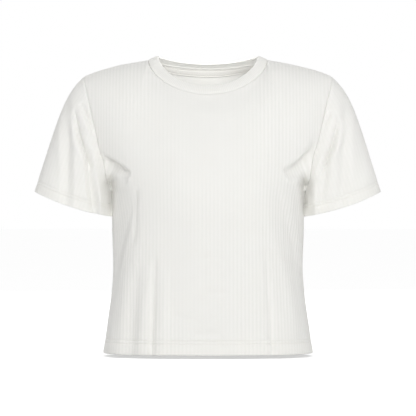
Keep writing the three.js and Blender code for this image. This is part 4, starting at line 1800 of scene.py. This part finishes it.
@dataclass
class CropTop:
    """The whole garment: its cut, and the pieces made from it."""

    cut: BodyCut = field(default_factory=BodyCut)
    band_pitch: float = 3.1
    band_height: float = 0.3
    front: Panel = field(init=False)
    back: Panel = field(init=False)
    sleeves: tuple[Sleeve, Sleeve] = field(init=False)
    band: NeckBand = field(default_factory=NeckBand)
    tape: NeckTape = field(default_factory=NeckTape)

    def __post_init__(self) -> None:
        """Sets out the panels and the sleeves."""
        front = {"armhole_depth": 44, "yoke_centre_z": -92, "neck_y": -64, "neck_z": -58}
        back = {"armhole_depth": 48, "yoke_centre_z": -72, "neck_y": 64, "neck_z": -11.5}
        self.front = Panel(self.cut, FRONT, "front_panel", **front, neck_fall=1.2, neck_rise=2.2)
        self.back = Panel(self.cut, BACK, "back_panel", **back, neck_fall=2, neck_rise=1)
        self.sleeves = (Sleeve("sleeve_left", True), Sleeve("sleeve_right", False))

    def make_sheets(self) -> None:
        """Works out every sheet of cloth, each from those that it is sewn to."""
        rng = np.random.default_rng(SEED)
        self.front.make_sheet(rng)
        self.back.make_sheet(rng)
        for sleeve in self.sleeves:
            sleeve.make_sheet(self.front, self.back, rng)
        self.band.make_sheet(self.front, self.back)
        self.tape.make_sheet(self.back)
        for part in (self.front, self.back, *self.sleeves):
            part.sheet.press_hollows()

    def make_pieces(self) -> None:
        ribs, stitches = rib_tree(), stitch_tree()
        knit = RibKnit().build()
        band_knit = RibKnit(name="cotton rib knit, neck band", pitch=self.band_pitch).build()
        twill = Twill().build()
        thread = Thread().build()
        broad = {"Pitch": RibKnit.pitch * MM, "Height": RIB_HEIGHT * MM, "Material": knit, "Seed": SEED}
        for part in (self.front, self.back, *self.sleeves):
            piece = shell(part.sheet)
            apply_tree(piece, ribs, broad)
            gap, lines = self.hem_of(part)
            rows = [int(np.argmin(np.abs(gap[:, 0] - line))) for line in lines]
            runs = [run_on(part.sheet, row) for row in rows]
            runs.append(zigzag_on(part.sheet, rows[0], rows[1], Stitching.pitch))
            sewn = Stitching(f"{part.name}_hem_stitches", runs).build(stitches, thread)
            declare(piece, [sewn])
        piece = shell(self.band.sheet)
        pitch, height = self.band_pitch * MM, self.band_height * MM
        narrow = {"Pitch": pitch, "Height": height, "Material": band_knit, "Seed": SEED}
        apply_tree(piece, ribs, narrow)
        declare(piece, [])
        piece = shell(self.tape.sheet)
        piece.data.materials.append(twill)
        runs = [run_on(self.tape.sheet, row, inside=True) for row in self.tape.line_rows]
        sewn = Stitching("neck_tape_stitches", runs).build(stitches, thread)
        declare(piece, [sewn])

    def hem_of(self, part: Panel | Sleeve) -> tuple[Array, tuple[float, float]]:
        """The hem of a panel or a sleeve.

        Args:
            part: The panel or sleeve, with its sheet made.

        Returns:
            Each point's distance from its folded edge, and how far its rows of stitches are.
        """
        if isinstance(part, Panel):
            return part.hem_gap, self.cut.hem_lines
        return part.cuff_gap, part.hem_lines


def declare(piece: bpy.types.Object, sewn: Sequence[bpy.types.Object]) -> None:
    """Attaches a finished piece and its stitches to the root, hides the solid that it replaces, and logs
    its size.

    Args:
        piece: The piece of cloth, named as its solid is.
        sewn: The stitches on it.
    """
    name = piece.name.split(".")[0]
    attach(piece, "root")
    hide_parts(name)
    for stitches in sewn:
        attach(stitches, "root")
    count = sum(len(p.vertices) - 2 for p in piece.data.polygons)
    LOG.info("%s: %d triangles, stitches in %d objects", piece.name, count, len(sewn))


# ---------------------------------------------------------------------------- the studio


class Softbox(NamedTuple):
    """A square soft light that faces the garment: its place and side in metres, and its watts."""

    name: str
    place: tuple[float, float, float]
    size: float
    power: float


SOFTBOXES = (
    Softbox("front_light", (0.3, -3.3, 0.45), 2.4, 55),
    Softbox("side_light", (2.6, -1.4, 0.2), 1.8, 3),
    Softbox("back_light", (-0.5, 3.1, 1.2), 2.4, 42),
)


@dataclass
class Studio:
    """A plain pale floor, an even white surround, and soft lights. Sizes are in metres."""

    distance: float = 5.0
    centre_z: float = -0.2412
    frame_width: float = 0.678
    sensor: float = 36.0
    surround: float = 0.6  # the strength of the light from all round, level with the garment
    surround_rise: float = -0.05  # what it gains straight up
    # a faint light inside the chest, so that the inside of the neck isn't dark
    inner_place: tuple[float, float, float] = (0, -0.03, -0.012)
    inner_size: tuple[float, float] = (0.12, 0.04)
    inner_tilt: float = 70.0
    inner_power: float = 0.067
    floor_half: float = 30.0
    floor_drop: float = 0.005
    floor_shade: float = 0.85
    floor_glow: float = 0.5  # what the floor adds to itself where it is seen

    def place_camera(self) -> None:
        """Sets the camera square on to the chest, level with the middle of the garment."""
        data = bpy.data.cameras.new("camera")
        data.sensor_width = self.sensor
        data.lens = self.sensor * self.distance / self.frame_width
        camera = bpy.data.objects.new("camera", data)
        camera.location = (0, -self.distance, self.centre_z)
        camera.rotation_euler = (math.radians(90), 0, 0)
        bpy.context.collection.objects.link(camera)
        bpy.context.scene.camera = camera

    def light(self) -> None:
        """Lights the garment evenly from all round, and a little more from the front."""
        scene = bpy.context.scene
        scene.view_settings.view_transform = "Standard"
        world = bpy.data.worlds.new("surround")
        scene.world = world
        world.use_nodes = True
        tree = world.node_tree
        background = tree.nodes["Background"]
        way = add_node(tree, "ShaderNodeTexCoord").outputs["Generated"]
        height = add_node(tree, "ShaderNodeSeparateXYZ", vector=way).outputs[2]
        light = add_node(tree, MATH, "MULTIPLY_ADD", height, self.surround_rise, self.surround)
        seen = add_node(tree, "ShaderNodeLightPath").outputs["Is Camera Ray"]
        bright = add_node(tree, MATH, "MAXIMUM", seen, light)
        tree.links.new(bright.outputs[0], background.inputs["Strength"])
        background.inputs["Color"].default_value = (1, 1, 1, 1)
        for softbox in SOFTBOXES:
            self.add_softbox(softbox)
        self.add_inner_light()

    def add_softbox(self, softbox: Softbox) -> None:
        """Adds a soft light.

        Args:
            softbox: The light, which is turned to the middle of the garment.
        """
        data = bpy.data.lights.new(softbox.name, "AREA")
        data.size = softbox.size
        data.energy = softbox.power
        lamp = bpy.data.objects.new(softbox.name, data)
        lamp.location = softbox.place
        way = Vector((0, 0, self.centre_z)) - Vector(softbox.place)
        lamp.rotation_euler = way.to_track_quat("-Z", "Y").to_euler()
        bpy.context.collection.objects.link(lamp)

    def add_inner_light(self) -> None:
        """Adds the faint light inside the chest."""
        data = bpy.data.lights.new("inner_light", "AREA")
        data.shape = "RECTANGLE"
        data.size, data.size_y = self.inner_size
        data.energy = self.inner_power
        lamp = bpy.data.objects.new("inner_light", data)
        lamp.location = self.inner_place
        lamp.rotation_euler = (math.radians(self.inner_tilt), 0, 0)
        lamp.visible_camera = False
        bpy.context.collection.objects.link(lamp)

    def lay_floor(self, bottom: float) -> None:
        """Lays the floor just under the hem.

        Args:
            bottom: The level of the hem.
        """
        mesh = bpy.data.meshes.new("floor")
        half, z = self.floor_half, bottom - self.floor_drop
        corners = [(-half, -half, z), (half, -half, z), (half, half, z), (-half, half, z)]
        mesh.from_pydata(corners, [], [(0, 1, 2, 3)])
        material, tree, shader = new_material("painted floor")
        finish = {
            "Base Color": (self.floor_shade,) * 3 + (1,),
            "Roughness": 1.0,
            "Specular IOR Level": 0.0,
            "Emission Color": (1, 1, 1, 1),
        }
        set_inputs(shader, finish)
        seen = add_node(tree, "ShaderNodeLightPath").outputs["Is Camera Ray"]
        glow = add_node(tree, MATH, "MULTIPLY", seen, self.floor_glow)
        tree.links.new(glow.outputs[0], shader.inputs["Emission Strength"])
        mesh.materials.append(material)
        floor = bpy.data.objects.new("floor", mesh)
        bpy.context.collection.objects.link(floor)
        floor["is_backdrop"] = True


def main() -> None:
    """Builds the garment round the loaded frame, then lights it."""
    logging.basicConfig(level=logging.INFO, format="%(message)s")
    solid_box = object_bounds()
    studio = Studio()
    studio.place_camera()
    top = CropTop()
    top.make_sheets()
    top.make_pieces()
    studio.light()
    studio.lay_floor(solid_box[0][2])


if __name__ == "__main__":
    main()
